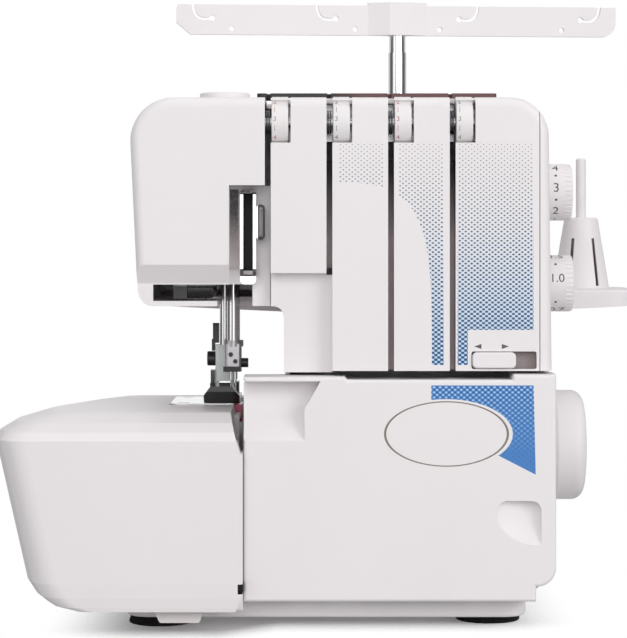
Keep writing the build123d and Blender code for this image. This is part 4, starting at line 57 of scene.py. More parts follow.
class Value:
    """One socket of a material's node tree, with the arithmetic that the patterns use."""

    def __init__(self, tree, socket):
        self.tree = tree
        self.socket = socket

    def node(self, kind, settings, inputs, output=0):
        """Adds a node with these settings and input values or links, and returns one of its outputs."""
        made = self.tree.nodes.new(kind)
        for name, value in settings.items():
            setattr(made, name, value)
        for name, value in inputs.items():
            if isinstance(value, Value):
                self.tree.links.new(value.socket, made.inputs[name])
            else:
                made.inputs[name].default_value = value
        return Value(self.tree, made.outputs[output])

    def math(self, operation, *others):
        """One math node on this value and the others."""
        return self.node("ShaderNodeMath", {"operation": operation}, dict(enumerate((self, *others))))

    def __add__(self, other):
        return self.math("ADD", other)

    __radd__ = __add__

    def __sub__(self, other):
        return self.math("SUBTRACT", other)

    def __rsub__(self, other):
        return self * -1.0 + other

    def __mul__(self, other):
        return self.math("MULTIPLY", other)

    __rmul__ = __mul__

    def __truediv__(self, other):
        return self.math("DIVIDE", other)

    def __lt__(self, other):
        return self.math("LESS_THAN", other)

    def __gt__(self, other):
        return self.math("GREATER_THAN", other)

    def within(self, low, high):
        """1 where this value is between the two limits, 0 elsewhere."""
        return (self > low) * (self < high)

    def clamped(self):
        """This value held between 0 and 1."""
        return self.node("ShaderNodeClamp", {}, {"Value": self})

    def axes(self):
        """The X, Y and Z of this vector."""
        return [self.node("ShaderNodeSeparateXYZ", {}, {"Vector": self}, axis) for axis in "XYZ"]

    def stretched(self, x, y, z):
        """This vector multiplied along each axis."""
        scale = {"operation": "MULTIPLY"}
        return self.node("ShaderNodeVectorMath", scale, {0: self, 1: (x, y, z)})

    def noise(self, scale, detail=2.0):
        """Soft noise at this vector, between 0 and 1."""
        return self.node("ShaderNodeTexNoise", {}, {"Vector": self, "Scale": scale, "Detail": detail})

    def mix(self, first, second):
        """The first colour where this value is 0, the second where it is 1."""
        inputs = {0: self}
        for socket, colour in ((6, first), (7, second)):
            inputs[socket] = colour if isinstance(colour, Value) else (*colour, 1.0)
        return self.node("ShaderNodeMix", {"data_type": "RGBA"}, inputs, 2)

    def feed(self, shader, name):
        """Links this value to one of the shader's sockets."""
        self.tree.links.new(self.socket, shader.inputs[name])

    def bump(self, shader, strength, depth):
        """Raises the shader's surface by this height, as far as the depth in millimetres."""
        inputs = {"Strength": strength, "Distance": depth * MM, "Height": self}
        self.node("ShaderNodeBump", {}, inputs, "Normal").feed(shader, "Normal")


def start_material(name):
    """A new material: returns it, its shader and its place in the shared frame in millimetres."""
    made = bpy.data.materials.new(name)
    made.use_nodes = True
    shader = made.node_tree.nodes["Principled BSDF"]
    metres = Value(made.node_tree, None).node("ShaderNodeTexCoord", {}, {}, "Object")
    return made, shader, metres.stretched(1.0 / MM, 1.0 / MM, 1.0 / MM)


def dress(made, *names):
    """Gives these CAD nodes the material."""
    for name in names:
        mesh = nodes[name].data
        mesh.materials.clear()
        mesh.materials.append(made)


def plain_material(name, dark, light, roughness, grain, depth, specular=0.5):
    """A material that wanders between two colours, with a grain of this size and depth in millimetres."""
    made, shader, place = start_material(name)
    clouds = place.noise(scale=0.02, detail=4.0)
    fine = place.noise(scale=1.0 / grain, detail=3.0)
    clouds.mix(dark, light).feed(shader, "Base Color")
    (roughness + 0.14 * (clouds - 0.5) + 0.1 * (fine - 0.5)).feed(shader, "Roughness")
    shader.inputs["Specular IOR Level"].default_value = specular
    fine.bump(shader, strength=0.5, depth=depth)
    return made


rubber = plain_material(
    "rubber",
    dark=(0.006, 0.006, 0.006),
    light=(0.014, 0.013, 0.013),
    roughness=0.9,
    grain=0.5,
    depth=0.05,
    specular=0.25,
)
dress(rubber, "rubber_feet", "drive_belt")

# Base tray
# Pan that the frame stands in, moulded with the ears of the door's hinge in off-white plastic.
# Only its rim shows, under the door.
WHITE_DARK = (0.80, 0.765, 0.775)
WHITE_LIGHT = (0.84, 0.808, 0.815)
tray = plain_material("tray_plastic", WHITE_DARK, WHITE_LIGHT, roughness=0.5, grain=0.4, depth=0.03)
dress(tray, "base_tray")


# Machine frame, bushes and drive
# A sand-cast aluminium frame with bronze bushes, turned steel shafts and a black motor can, and the
# ground steel lifter, knives and feed dogs that it carries. Most of it is hidden by the covers.
def metal_material(name, dark, light, roughness, stretch, depth):
    """A bare metal whose fine marks are stretched by these factors along X, Y and Z."""
    made, shader, place = start_material(name)
    shader.inputs["Metallic"].default_value = 1.0
    clouds = place.noise(scale=0.05, detail=3.0)
    marks = place.stretched(*stretch).noise(scale=1.0, detail=4.0)
    clouds.mix(dark, light).feed(shader, "Base Color")
    (roughness + 0.1 * (clouds - 0.5) + 0.16 * (marks - 0.5)).feed(shader, "Roughness")
    marks.bump(shader, strength=0.4, depth=depth)
    return made


casting = metal_material(
    "cast_aluminium",
    dark=(0.42, 0.42, 0.43),
    light=(0.55, 0.55, 0.56),
    roughness=0.5,
    stretch=(1.4, 1.4, 1.4),
    depth=0.08,
)
bronze = metal_material(
    "bronze",
    dark=(0.42, 0.27, 0.12),
    light=(0.55, 0.38, 0.18),
    roughness=0.4,
    stretch=(2.0, 2.0, 2.0),
    depth=0.03,
)
steel_along_x = metal_material(
    "turned_steel",
    dark=(0.45, 0.45, 0.46),
    light=(0.58, 0.58, 0.59),
    roughness=0.28,
    stretch=(6.0, 1.0, 1.0),
    depth=0.02,
)
steel_along_z = metal_material(
    "ground_steel",
    dark=(0.5, 0.5, 0.51),
    light=(0.62, 0.62, 0.63),
    roughness=0.22,
    stretch=(3.0, 3.0, 0.15),
    depth=0.015,
)
black = plain_material(
    "black_plastic",
    dark=(0.018, 0.018, 0.019),
    light=(0.032, 0.032, 0.034),
    roughness=0.36,
    grain=0.3,
    depth=0.02,
)
dress(casting, "machine_frame")
dress(bronze, "bearing_bushes")
dress(steel_along_x, "main_shaft", "motor_pulley", "cover_rod", "needle_rocker", "tension_bracket")
dress(steel_along_z, "presser_lifter", "lower_knife", "upper_knife", "feed_dogs", "fixing_screws")
dress(black, "motor", "power_inlet", "power_switch")

# Bars, needles, loopers and tension discs
# Hard-chromed bars, polished needles, loopers and needle plate, and a clamp of dull satin steel.
# The discs of the tension units are given a near-black steel colour as painted shade for their deep slots;
# the real ones are polished where the thread runs.
bar_chrome = metal_material(
    "bar_chrome",
    dark=(0.66, 0.65, 0.66),
    light=(0.76, 0.75, 0.76),
    roughness=0.14,
    stretch=(3.0, 3.0, 0.1),
    depth=0.006,
)
chrome = metal_material(
    "chrome",
    dark=(0.74, 0.74, 0.75),
    light=(0.82, 0.82, 0.83),
    roughness=0.1,
    stretch=(0.6, 0.6, 0.6),
    depth=0.004,
)
satin_steel = metal_material(
    "satin_steel",
    dark=(0.40, 0.38, 0.40),
    light=(0.52, 0.50, 0.52),
    roughness=0.36,
    stretch=(1.0, 1.0, 1.0),
    depth=0.02,
)
# Painted shade: the tension discs get a near-black steel colour, so that their slots read dark.
disc_steel_painted_shade = metal_material(
    "disc_steel_painted_shade",
    dark=(0.06, 0.06, 0.065),
    light=(0.10, 0.10, 0.105),
    roughness=0.35,
    stretch=(1.5, 1.5, 1.5),
    depth=0.01,
)
dress(bar_chrome, "needle_bar", "presser_bar")
dress(chrome, "lower_looper", "upper_looper", "needles", "needle_plate")
dress(satin_steel, "needle_clamp")
dress(black, "needle_screws")
dress(disc_steel_painted_shade, "tension_discs")

# Presser spring
# Coil of round spring wire between the pressure dial's stem and the presser bar's collar.
# It is hidden in the head. The real spring shortens upwards when the foot is lifted; this coil is fixed to
# the chassis and does not.
SPRING_TURNS = 6
SPRING_RADIUS = 3.5 * MM
WIRE_RADIUS = 0.4 * MM
WIRE_SIDES = 12
TURN_STEPS = 32
spring_low, spring_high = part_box("presser_spring")
spring_rise = (spring_high[2] - spring_low[2] - 2.0 * WIRE_RADIUS) / SPRING_TURNS
spring_x = (spring_low[0] + spring_high[0]) / 2.0
spring_y = (spring_low[1] + spring_high[1]) / 2.0
upright = (math.radians(90.0), 0.0, 0.0)
bpy.ops.mesh.primitive_circle_add(vertices=WIRE_SIDES, radius=WIRE_RADIUS, rotation=upright)
coil = bpy.context.object
coil.name = "presser_coil"
bpy.ops.object.transform_apply()
bpy.ops.object.mode_set(mode="EDIT")
bpy.ops.mesh.select_all(action="SELECT")
bpy.ops.transform.translate(value=(SPRING_RADIUS, 0.0, WIRE_RADIUS))
bpy.ops.object.mode_set(mode="OBJECT")
winding = coil.modifiers.new("winding", "SCREW")
winding.iterations = SPRING_TURNS
winding.screw_offset = spring_rise
winding.steps = TURN_STEPS
winding.render_steps = TURN_STEPS
bpy.ops.object.modifier_apply(modifier="winding")
bpy.ops.object.shade_smooth()
coil.location = (spring_x, spring_y, spring_low[2])
bpy.ops.object.transform_apply()
coil.data.materials.append(steel_along_z)
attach(coil, "chassis")
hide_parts("presser_spring")
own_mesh(coil)
bpy.ops.object.select_all(action="DESELECT")

# Presser foot and its holder
# The foot is of dark polished steel, and hangs by its cross pin in the arms of the holder.
# The holder is an ankle block in a pale, slightly green grey, clamped to the bar by a black screw.
foot_steel = plain_material(
    "foot_steel",
    dark=(0.022, 0.022, 0.023),
    light=(0.05, 0.05, 0.052),
    roughness=0.2,
    grain=0.6,
    depth=0.01,
)
pale = plain_material(
    "pale_plastic",
    dark=(0.84, 0.88, 0.88),
    light=(0.90, 0.94, 0.94),
    roughness=0.35,
    grain=0.4,
    depth=0.02,
)
dress(foot_steel, "presser_foot")
dress(pale, "foot_holder")
dress(black, "foot_screw", "foot_release")

# Needle thread guides
# Take-up guard and eye, pressed from bright steel, and a grey strip along the recess.
# The strip's top, both ends of the guard and the eye are painted darker and mottled, as shade.
STRIP_EDGE_X = -49.9
STRIP_SHADE_Z = 186.0
STRIP_SHADE_RISE = 26.0
GUARD_TOP_Z = 220.0
GUARD_FOOT_Z = (178.6, 182.4)
EYE_EDGE_X = -40.2
GUIDE_BRIGHT = (0.94, 0.94, 0.95)
STRIP_GREY = (0.52, 0.46, 0.46)
GUIDE_SHADE_DARK = (0.035, 0.03, 0.034)
guides, guides_shader, guides_place = start_material("polished_guides")
x, _, z = guides_place.axes()
mottle = guides_place.noise(scale=0.8, detail=4.0)
strip = x < STRIP_EDGE_X
# Painted shade: darker towards the strip's top, at the guard's ends and at the eye, with a mottle.
strip_shade = ((z - STRIP_SHADE_Z) / STRIP_SHADE_RISE).clamped() * (0.55 + 0.9 * mottle)
guard_ends = (z > GUARD_TOP_Z) + z.within(*GUARD_FOOT_Z)
guard_shade = (guard_ends + 1.1 * (x > EYE_EDGE_X)) * (0.75 + 0.5 * mottle)
guide_shade = (strip * strip_shade + (1.0 - strip) * guard_shade).clamped()
guide_shade.mix(strip.mix(GUIDE_BRIGHT, STRIP_GREY), GUIDE_SHADE_DARK).feed(guides_shader, "Base Color")
(1.0 - strip).feed(guides_shader, "Metallic")
(0.16 + strip * 0.3 + 0.08 * guides_place.noise(scale=0.5)).feed(guides_shader, "Roughness")
dress(guides, "needle_thread_guides")

# Thread channels and top guide
# Moulded liners behind the slots, and the guide plate along the top edge.
# Both are painted black near the top as shade, and brown-grey lower down and to the right, where light
# falls in.
SLOT_DARK_Z = 232.0
SLOT_FADE = 35.0
TAKE_UP_EDGE_X = -40.0
SLIDER_TRAY_X = 65.0
SLIDER_TRAY_Z = 150.0
GUIDE_DARK_X = -2.0
GUIDE_FADE = 16.0
DARK_BROWN = (0.012, 0.010, 0.010)
GREY_BROWN = (0.74, 0.65, 0.66)
TRAY_BROWN = (0.36, 0.30, 0.30)
RED_BROWN = (0.11, 0.045, 0.045)
liner, liner_shader, liner_place = start_material("liner_plastic")
x, _, z = liner_place.axes()
# Painted shade: black high in the slots, fading to the lit colour lower down.
lower_slots = ((SLOT_DARK_Z - z) / SLOT_FADE).clamped() * (x > TAKE_UP_EDGE_X)
slider_tray = (x > SLIDER_TRAY_X) * (z < SLIDER_TRAY_Z)
speckle = 0.85 + 0.3 * (liner_place.noise(scale=1.5) - 0.5)
liner_lit_colour = slider_tray.mix(GREY_BROWN, TRAY_BROWN)
(lower_slots * speckle).mix(DARK_BROWN, liner_lit_colour).feed(liner_shader, "Base Color")
liner_place.noise(scale=0.8).bump(liner_shader, strength=0.4, depth=0.04)
liner_shader.inputs["Roughness"].default_value = 0.55
dress(liner, "thread_channels")
guide, guide_shader, guide_place = start_material("guide_plastic")
x = guide_place.axes()[0]
# Painted shade: the guide plate is black at its left and red-brown to the right, where light falls.
((x - GUIDE_DARK_X) / GUIDE_FADE).clamped().mix(DARK_BROWN, RED_BROWN).feed(guide_shader, "Base Color")
(0.35 + 0.2 * guide_place.noise(scale=0.4)).feed(guide_shader, "Roughness")
dress(guide, "top_thread_guide")

# White shell mouldings
# Head, back, end, wheel, stand and dials, injection-moulded in white plastic with a satin spark finish.
# The white leans a little to pink, with faint flow marks and handling sheen.
WHITE_ROUGHNESS = 0.44
WHITE_SPECULAR = 0.34


def white_base(name):
    """White moulded plastic: returns the material, its shader, its place and its colour."""
    made, shader, place = start_material(name)
    flow = place.stretched(1.0, 1.0, 0.4).noise(scale=0.015, detail=3.0)
    spark = place.noise(scale=2.6, detail=2.0)
    handled = place.noise(scale=0.06, detail=5.0)
    (WHITE_ROUGHNESS + 0.12 * (handled - 0.5) + 0.06 * (spark - 0.5)).feed(shader, "Roughness")
    shader.inputs["Specular IOR Level"].default_value = WHITE_SPECULAR
    spark.bump(shader, strength=0.25, depth=0.015)
    return made, shader, place, flow.mix(WHITE_DARK, WHITE_LIGHT)


white, white_shader, _, white_colour = white_base("white_plastic")
white_colour.feed(white_shader, "Base Color")
dress(white, "rear_housing", "right_end_cover", "head_cover", "free_arm_cover", "handwheel")
dress(white, "stitch_length_dial", "differential_dial", "width_slider", "pressure_dial")
dress(white, *[f"tension_dial_{number}" for number in (1, 2, 3, 4)])
dress(white, "spool_stand", "thread_guide_bar", "spool_pins")

# Extension table
# The same white plastic, moulded as a hollow box that slides onto the free arm from the left.
# The latch pocket low on its right edge is too deep for light to reach, so it is painted black as shade.
POCKET_X = -49.8
POCKET_Y = (-123.3, -114.0)
POCKET_Z = (20.9, 26.1)
POCKET_SHADE = (0.012, 0.011, 0.011)
table, table_shader, table_place, table_white = white_base("table_plastic")
x, y, z = table_place.axes()
# Painted shade: the latch pocket's region is coloured near-black.
pocket_shade = (x > POCKET_X) * y.within(*POCKET_Y) * z.within(*POCKET_Z)
pocket_shade.mix(table_white, POCKET_SHADE).feed(table_shader, "Base Color")
dress(table, "extension_table")

# Cone holders
# Four slit cones of the same white plastic, left hollow, that stand over the pins of the spool stand.
# Little light reaches their slits and insides, so what lies under the skin is darker.
PIN_PITCH = 72.0
PIN_Y = 85.0
ROW_SHIFT = 3.5 * PIN_PITCH
CONE_FOOT_Z = 169.0
CONE_FOOT_RADIUS = 15.8
CONE_TAPER = 0.1646
CONE_TOP_Z = 209.7
SLIT_SHADE = (0.20, 0.185, 0.17)
cone, cone_shader, cone_place, cone_white = white_base("cone_plastic")
x, y, z = cone_place.axes()
across = (x + ROW_SHIFT).math("MODULO", PIN_PITCH) - PIN_PITCH / 2
along = y - PIN_Y
axis_distance = (across * across + along * along).math("SQRT")
skin = CONE_FOOT_RADIUS - (z - CONE_FOOT_Z) * CONE_TAPER
under_skin = (axis_distance < skin) * (z < CONE_TOP_Z)
under_skin.mix(cone_white, SLIT_SHADE).feed(cone_shader, "Base Color")
dress(cone, "cone_holders")

# Tension panels
# The white front moulding carries a printed halftone that grows from pale specks to full blue,
# to the right of a sweeping curve, and two small arrows over the width slider.
PANEL_FACE_Y = -108.6
PANEL_TWO_X = (0.5, 22.8)
PANEL_THREE_X = (30.8, 53.4)
PANEL_FOUR_X = (60.4, 98.6)
PANEL_PITCH = (3.0, 2.3)
PRINT_Z = (134.2, 246.0)
PRINT_FADE = 112.0
SPECK_LEVEL = 1.7
LEVEL_FALL = 2.0
DOT_SHARPNESS = 1.1
TINT_STRENGTH = 0.95
SLIDER_LEFT_X = 65.6
SLIDER_TOP_Z = 151.8
SWEEP_CENTRE = (-10.0, 134.0)
SWEEP_HALF = (57.5, 92.0)
SWEEP_POWER = 4.0
ARROW_TIPS_X = (68.7, 86.3)
ARROW_Z = 143.5
ARROW_LENGTH = 3.7
ARROW_SLOPE = 0.34
PRINT_SLATE = (0.06, 0.07, 0.10)
PRINT_NAVY = (0.022, 0.068, 0.20)
PRINT_TINT = (0.47, 0.69, 0.90)
ARROW_COLOUR = (0.10, 0.09, 0.09)


def lattice(x, z, pitch):
    """Staggered dots as a wave, from -2 between them to 2 at their middles."""
    turn = 2.0 * math.pi
    along = x / pitch[0]
    up = z / pitch[1]
    return ((along + up) * turn).math("COSINE") + ((along - up) * turn).math("COSINE")


panel, panel_shader, panel_place, panel_white = white_base("printed_panel")
x, y, z = panel_place.axes()
face = y < PANEL_FACE_Y
depth = ((PRINT_Z[1] - z) / PRINT_FADE).clamped()
sweep_x = (x - SWEEP_CENTRE[0]) / SWEEP_HALF[0]
sweep_z = (z - SWEEP_CENTRE[1]) / SWEEP_HALF[1]
beyond_sweep = sweep_x.math("POWER", SWEEP_POWER) + sweep_z.math("POWER", SWEEP_POWER) > 1.0
clear_of_slider = ((z > SLIDER_TOP_Z) + (x < SLIDER_LEFT_X)).clamped()
middle_panels = (x.within(*PANEL_TWO_X) + x.within(*PANEL_THREE_X)) * beyond_sweep
last_panel = x.within(*PANEL_FOUR_X) * clear_of_slider
region = (middle_panels + last_panel) * z.within(*PRINT_Z) * face
level = SPECK_LEVEL - LEVEL_FALL * depth
dots = ((lattice(x, z, PANEL_PITCH) - level) * DOT_SHARPNESS + 0.5).clamped()
tinted = (depth * depth * region * TINT_STRENGTH).clamped().mix(panel_white, PRINT_TINT)
printed = (dots * region).mix(tinted, depth.mix(PRINT_SLATE, PRINT_NAVY))
arrow_height = (z - ARROW_Z).math("ABSOLUTE")
for from_tip in (x - ARROW_TIPS_X[0], ARROW_TIPS_X[1] - x):
    arrow = from_tip.within(0.0, ARROW_LENGTH) * (arrow_height < from_tip * ARROW_SLOPE) * face
    printed = arrow.mix(printed, ARROW_COLOUR)
printed.feed(panel_shader, "Base Color")
dress(panel, "front_panel")

# Looper cover
# Drop-down door of the same white plastic, hung on a steel rod, with a blank oval badge in a thin ring.
# The printed halftone fills its upper right corner beyond the badge.
DOOR_FACE_Y = -114.6
DOOR_PITCH = (3.02, 2.57)
DOOR_PRINT_X = (46.9, 98.1)
DOOR_PRINT_Z = (79.6, 124.3)
DOOR_DRAFT = 0.0236
DOOR_FADE = 34.0
CUT_SLOPE = 0.512
CUT_LEVEL = 130.4
DOT_GAP = 0.2
DOT_EDGE = 0.7
BADGE_CENTRE = (54.5, 100.0)
BADGE_HALF = (31.0, 16.25)
BADGE_MARGIN = 1.07
RING_BAND = (0.972, 1.008)
DOOR_NAVY = (0.022, 0.085, 0.27)
DOOR_BLUE = (0.062, 0.215, 0.54)
DOOR_PALE = (0.46, 0.70, 0.95)
RING_COLOUR = (0.20, 0.175, 0.15)
door, door_shader, door_place, door_white = white_base("printed_door")
x, y, z = door_place.axes()
face = y < DOOR_FACE_Y
badge_x = (x - BADGE_CENTRE[0]) / BADGE_HALF[0]
badge_z = (z - BADGE_CENTRE[1]) / BADGE_HALF[1]
badge = (badge_x * badge_x + badge_z * badge_z).math("SQRT")
below_top = DOOR_PRINT_Z[1] - z
between_sides = (x > DOOR_PRINT_X[0]) * (x - below_top * DOOR_DRAFT < DOOR_PRINT_X[1])
above_cut = z.within(*DOOR_PRINT_Z) * (z + CUT_SLOPE * x > CUT_LEVEL)
corner = between_sides * above_cut * (badge > BADGE_MARGIN) * face
contrast = (1.0 - below_top / DOOR_FADE).clamped()
wave = lattice(x, z, DOOR_PITCH)
hollows = ((wave - DOT_GAP) * DOT_EDGE).clamped() * contrast
beads = ((-DOT_GAP - wave) * DOT_EDGE).clamped() * (0.25 + 0.75 * contrast)
ink = beads.mix(hollows.mix(DOOR_BLUE, DOOR_PALE), DOOR_NAVY)
printed = corner.mix(door_white, ink)
ring = badge.within(*RING_BAND) * face
ring.mix(printed, RING_COLOUR).feed(door_shader, "Base Color")
dress(door, "looper_cover")

# Dial prints
# Plain numbers, bars and dots, pad-printed round the drums of the tension dials and the two side dials.
# Each tension dial has its own thread colour; the side dials are printed in dark grey.
FONT_SIZE = 1.4
INK_STANDOFF = 0.4
INK_LIFT = 0.04
INK_SPREAD = 1.15


def print_marks(dial, axis, radius, marks, colour):
    """Wraps (text, height, x, angle) marks, in millimetres and degrees up from the front, onto a drum."""
    light = [part * INK_SPREAD for part in colour]
    ink = plain_material(f"{dial}_ink", colour, light, roughness=0.45, grain=0.3, depth=0.005)
    reach = radius + INK_STANDOFF
    printed = []
    for text, height, mark_x, angle in marks:
        bpy.ops.object.text_add()
        mark = bpy.context.object
        mark.data.body = text
        mark.data.size = height * FONT_SIZE * MM
        bpy.ops.object.convert(target="MESH")
        bpy.ops.object.origin_set(type="ORIGIN_GEOMETRY", center="BOUNDS")
        turn = math.radians(angle)
        mark_y = axis[0] - reach * math.cos(turn)
        mark_z = axis[1] + reach * math.sin(turn)
        mark.location = (mark_x * MM, mark_y * MM, mark_z * MM)
        mark.rotation_euler = (math.radians(90.0 - angle), 0.0, 0.0)
        bpy.ops.object.transform_apply()
        bpy.ops.object.mode_set(mode="EDIT")
        bpy.ops.mesh.select_all(action="SELECT")
        bpy.ops.mesh.subdivide(number_cuts=2)
        bpy.ops.object.mode_set(mode="OBJECT")
        wrap = mark.modifiers.new("wrap", "SHRINKWRAP")
        wrap.target = nodes[dial]
        wrap.wrap_mode = "ABOVE_SURFACE"
        wrap.offset = INK_LIFT * MM
        bpy.ops.object.modifier_apply(modifier="wrap")
        printed.append(mark)
    for mark in printed:
        mark.select_set(True)
    bpy.ops.object.join()
    bpy.context.object.name = f"{dial}_print"
    bpy.context.object.data.materials.append(ink)
    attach(bpy.context.object, dial)


TENSION_AXIS = (-97.0, 256.6)
TENSION_RADIUS = 13.0
TENSION_FIRST_X = -31.5
TENSION_PITCH = 31.0
DIGIT_HEIGHT = 2.6
DIGIT_ANGLES = {"1": 92.0, "2": 49.0, "3": 6.0, "4": -37.0}
BAR_HEIGHT = 2.4
BAR_ANGLES = (70.5, 27.5, -15.5)
THREAD_COLOURS = ((0.45, 0.23, 0.14), (0.12, 0.17, 0.30), (0.42, 0.13, 0.12), (0.14, 0.30, 0.15))
for number, colour in enumerate(THREAD_COLOURS):
    mark_x = TENSION_FIRST_X + TENSION_PITCH * number
    marks = [(digit, DIGIT_HEIGHT, mark_x, angle) for digit, angle in DIGIT_ANGLES.items()]
    marks += [("|", BAR_HEIGHT, mark_x, angle) for angle in BAR_ANGLES]
    print_marks(f"tension_dial_{number + 1}", TENSION_AXIS, TENSION_RADIUS, marks, colour)

SIDE_AXIS_Y = -55.0
SIDE_AXIS_Z = {"stitch_length_dial": 222.0, "differential_dial": 174.3}
SIDE_RADIUS = 14.8
SIDE_INK = (0.06, 0.06, 0.062)
SIDE_MARKS = {
    "stitch_length_dial": (("4", 58.0), (".", 35.0), ("3", 9.0), (".", -16.0), ("2", -41.0), (".", -71.0)),
    "differential_dial": (("1.5", 71.0), (".", 43.0), ("1.0", 12.0), (".", -40.0), ("0.7", -66.0)),
}
DOT_HEIGHT = 8.0
HEIGHT_BY_LENGTH = {1: 5.0, 3: 4.6}
X_BY_LENGTH = {1: 114.0, 3: 115.1}
for dial, marks in SIDE_MARKS.items():
    placed = []
    for text, angle in marks:
        height = DOT_HEIGHT if text == "." else HEIGHT_BY_LENGTH[len(text)]
        placed.append((text, height, X_BY_LENGTH[len(text)], angle))
    print_marks(dial, (SIDE_AXIS_Y, SIDE_AXIS_Z[dial]), SIDE_RADIUS, placed, SIDE_INK)

# Lamp
# Unlit tubular bulb of smoked glass in a black socket, behind the opening under the head's face.
# The tin reflector over it shows as a bright edge.
REFLECTOR_EDGE_Z = 173.2
REFLECTOR_BLEND = 0.8
SMOKED_GLASS = (0.02, 0.018, 0.018)
REFLECTOR_TIN = (0.62, 0.62, 0.62)
lamp, lamp_shader, lamp_place = start_material("lamp")
z = lamp_place.axes()[2]
reflector = ((z - REFLECTOR_EDGE_Z) / REFLECTOR_BLEND).clamped()
reflector.mix(SMOKED_GLASS, REFLECTOR_TIN).feed(lamp_shader, "Base Color")
(0.2 + 0.15 * lamp_place.noise(scale=0.5)).feed(lamp_shader, "Roughness")
dress(lamp, "lamp")

# Knife guard
# Small cap moulded in red plastic, which sits in front of the lower knife.
# It is glossier than the white covers.
red = plain_material(
    "red_plastic",
    dark=(0.36, 0.035, 0.085),
    light=(0.45, 0.055, 0.12),
    roughness=0.26,
    grain=0.4,
    depth=0.02,
)
dress(red, "knife_guard")

# Table release
# Finger tab moulded in warm pale grey plastic, hinged on pins inside the table's front wall.
# It is a shade darker than the table.
warm_grey = plain_material(
    "warm_grey_plastic",
    dark=(0.70, 0.66, 0.655),
    light=(0.76, 0.72, 0.715),
    roughness=0.45,
    grain=0.4,
    depth=0.02,
)
dress(warm_grey, "table_release")

# Telescopic pole
# Chromed tube fixed in the spool stand, and a chromed rod that slides out of it.
# Drawing has left faint marks along both.
drawn_chrome = metal_material(
    "drawn_chrome",
    dark=(0.62, 0.62, 0.63),
    light=(0.72, 0.72, 0.73),
    roughness=0.16,
    stretch=(2.0, 2.0, 0.02),
    depth=0.01,
)
dress(drawn_chrome, "outer_pole", "inner_pole")

# Floor
# A pale studio floor that fades into the white background a little way from the machine.
# It is there for the shadow, which reaches further to the front and back under the table.
FLOOR_SIZE = 3.0
SHADOW_CENTRE = (-12.0, 8.0)
SHADOW_HALF = 80.0
SHADOW_FADE = 60.0
SHADOW_SQUEEZE = 1.4
TABLE_SHADOW_X = -30.0
TABLE_SHADOW_BLEND = 30.0
TABLE_SHADOW_REACH = 28.0
FLOOR_ALPHA = 0.88
FLOOR_DARK = (0.80, 0.79, 0.79)
FLOOR_LIGHT = (0.83, 0.82, 0.82)
bpy.ops.mesh.primitive_plane_add(size=FLOOR_SIZE, location=(0.0, 0.0, 0.0))
floor = bpy.context.object
floor.name = "studio_floor"
floor_paint, floor_shader, floor_place = start_material("studio_floor")
x, y, _ = floor_place.axes()
under_table = ((TABLE_SHADOW_X - x) / TABLE_SHADOW_BLEND).clamped()
half_y = SHADOW_HALF + TABLE_SHADOW_REACH * under_table
outside_x = ((x - SHADOW_CENTRE[0]).math("ABSOLUTE") - SHADOW_HALF).math("MAXIMUM", 0.0)
outside_y = ((y - SHADOW_CENTRE[1]).math("ABSOLUTE") - half_y).math("MAXIMUM", 0.0) * SHADOW_SQUEEZE
away = (outside_x * outside_x + outside_y * outside_y).math("SQRT")
fade = (1.0 - away / SHADOW_FADE).clamped()
(FLOOR_ALPHA * fade * fade * (3.0 - 2.0 * fade)).feed(floor_shader, "Alpha")
floor_place.noise(scale=0.01).mix(FLOOR_DARK, FLOOR_LIGHT).feed(floor_shader, "Base Color")
floor_shader.inputs["Roughness"].default_value = 0.6
floor.data.materials.append(floor_paint)

# Light and camera
# Soft boxes, most of them in front of the machine, and a long lens that looks level from the head's height.
# The background is white; only reflections show soft dark flags in it, which give the chrome its stripes.
AMBIENT = 0.42
FLAG_REPEAT = 9.0
FLAG_DEPTH = 0.92
WHITE = (1.0, 1.0, 1.0, 1.0)
world = bpy.data.worlds.new("studio")
bpy.context.scene.world = world
world.use_nodes = True
tree = world.node_tree
start = Value(tree, None)
ambient = tree.nodes["Background"]
ambient.inputs["Color"].default_value = WHITE
ambient.inputs["Strength"].default_value = AMBIENT
backdrop = tree.nodes.new("ShaderNodeBackground")
backdrop.inputs["Color"].default_value = WHITE
seen = start.node("ShaderNodeLightPath", {}, {}, "Is Camera Ray")
glossy = start.node("ShaderNodeLightPath", {}, {}, "Is Glossy Ray")
through = start.node("ShaderNodeLightPath", {}, {}, "Is Transmission Ray")
side = start.node("ShaderNodeTexCoord", {}, {}, "Generated").axes()[0]
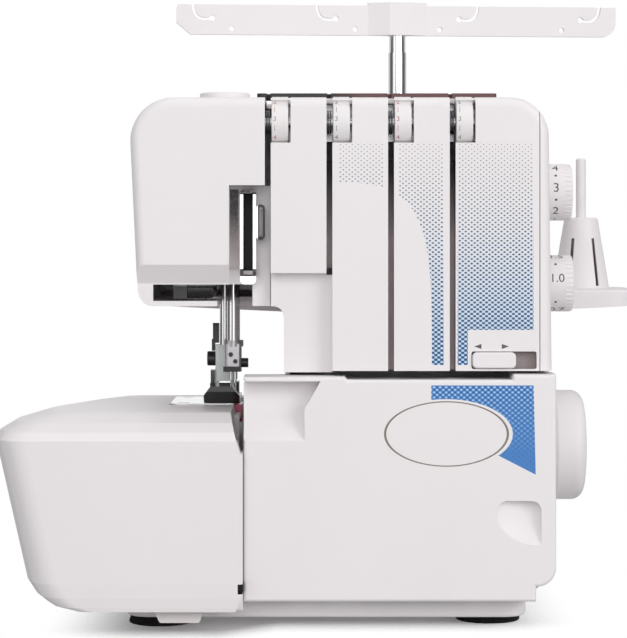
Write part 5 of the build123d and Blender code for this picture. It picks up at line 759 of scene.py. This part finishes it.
dark_flags = (0.5 - 0.5 * (side * FLAG_REPEAT).math("COSINE")) * glossy
(1.0 - FLAG_DEPTH * dark_flags).feed(backdrop, "Strength")
choice = tree.nodes.new("ShaderNodeMixShader")
(seen + glossy + through).clamped().feed(choice, 0)
tree.links.new(ambient.outputs[0], choice.inputs[1])
tree.links.new(backdrop.outputs[0], choice.inputs[2])
tree.links.new(choice.outputs[0], tree.nodes["World Output"].inputs["Surface"])


def area_light(name, place, aim, size, power):
    """A square soft box at a place, turned towards the point it lights."""
    bpy.ops.object.light_add(type="AREA", location=place)
    soft_box = bpy.context.object
    soft_box.name = name
    soft_box.data.size = size
    soft_box.data.energy = power
    across = math.hypot(aim[0] - place[0], aim[1] - place[1])
    tilt = math.atan2(across, place[2] - aim[2])
    turn = math.atan2(aim[0] - place[0], aim[1] - place[1])
    soft_box.rotation_euler = (tilt, 0.0, -turn)


FRONT = (0.0, -0.05, 0.15)
MIDDLE = (0.0, 0.0, 0.15)
TOP = (0.0, 0.0, 0.2)
area_light("key_light", place=(-0.4, -2.2, 1.1), aim=FRONT, size=1.4, power=13.0)
area_light("fill_light", place=(0.3, -2.4, 0.25), aim=FRONT, size=1.0, power=4.5)
area_light("left_light", place=(-1.7, -1.6, 0.6), aim=MIDDLE, size=1.2, power=3.0)
area_light("right_light", place=(1.6, -1.7, 0.9), aim=MIDDLE, size=1.2, power=19.5)
area_light("top_light", place=(0.0, -0.2, 1.9), aim=TOP, size=1.4, power=6.5)
area_light("back_light", place=(-0.5, 2.0, 1.3), aim=MIDDLE, size=1.6, power=4.0)

CAMERA_PLACE = (-0.012, -1.315, 0.197)
CAMERA_LENS = 135.4
CAMERA_SHIFT = -0.1238
bpy.ops.object.camera_add(location=CAMERA_PLACE, rotation=(math.radians(90.0), 0.0, 0.0))
camera = bpy.context.object
camera.data.lens = CAMERA_LENS
camera.data.sensor_width = 36.0
camera.data.shift_y = CAMERA_SHIFT
camera.data.clip_end = 20.0
bpy.context.scene.camera = camera
bpy.context.scene.view_settings.view_transform = "Standard"
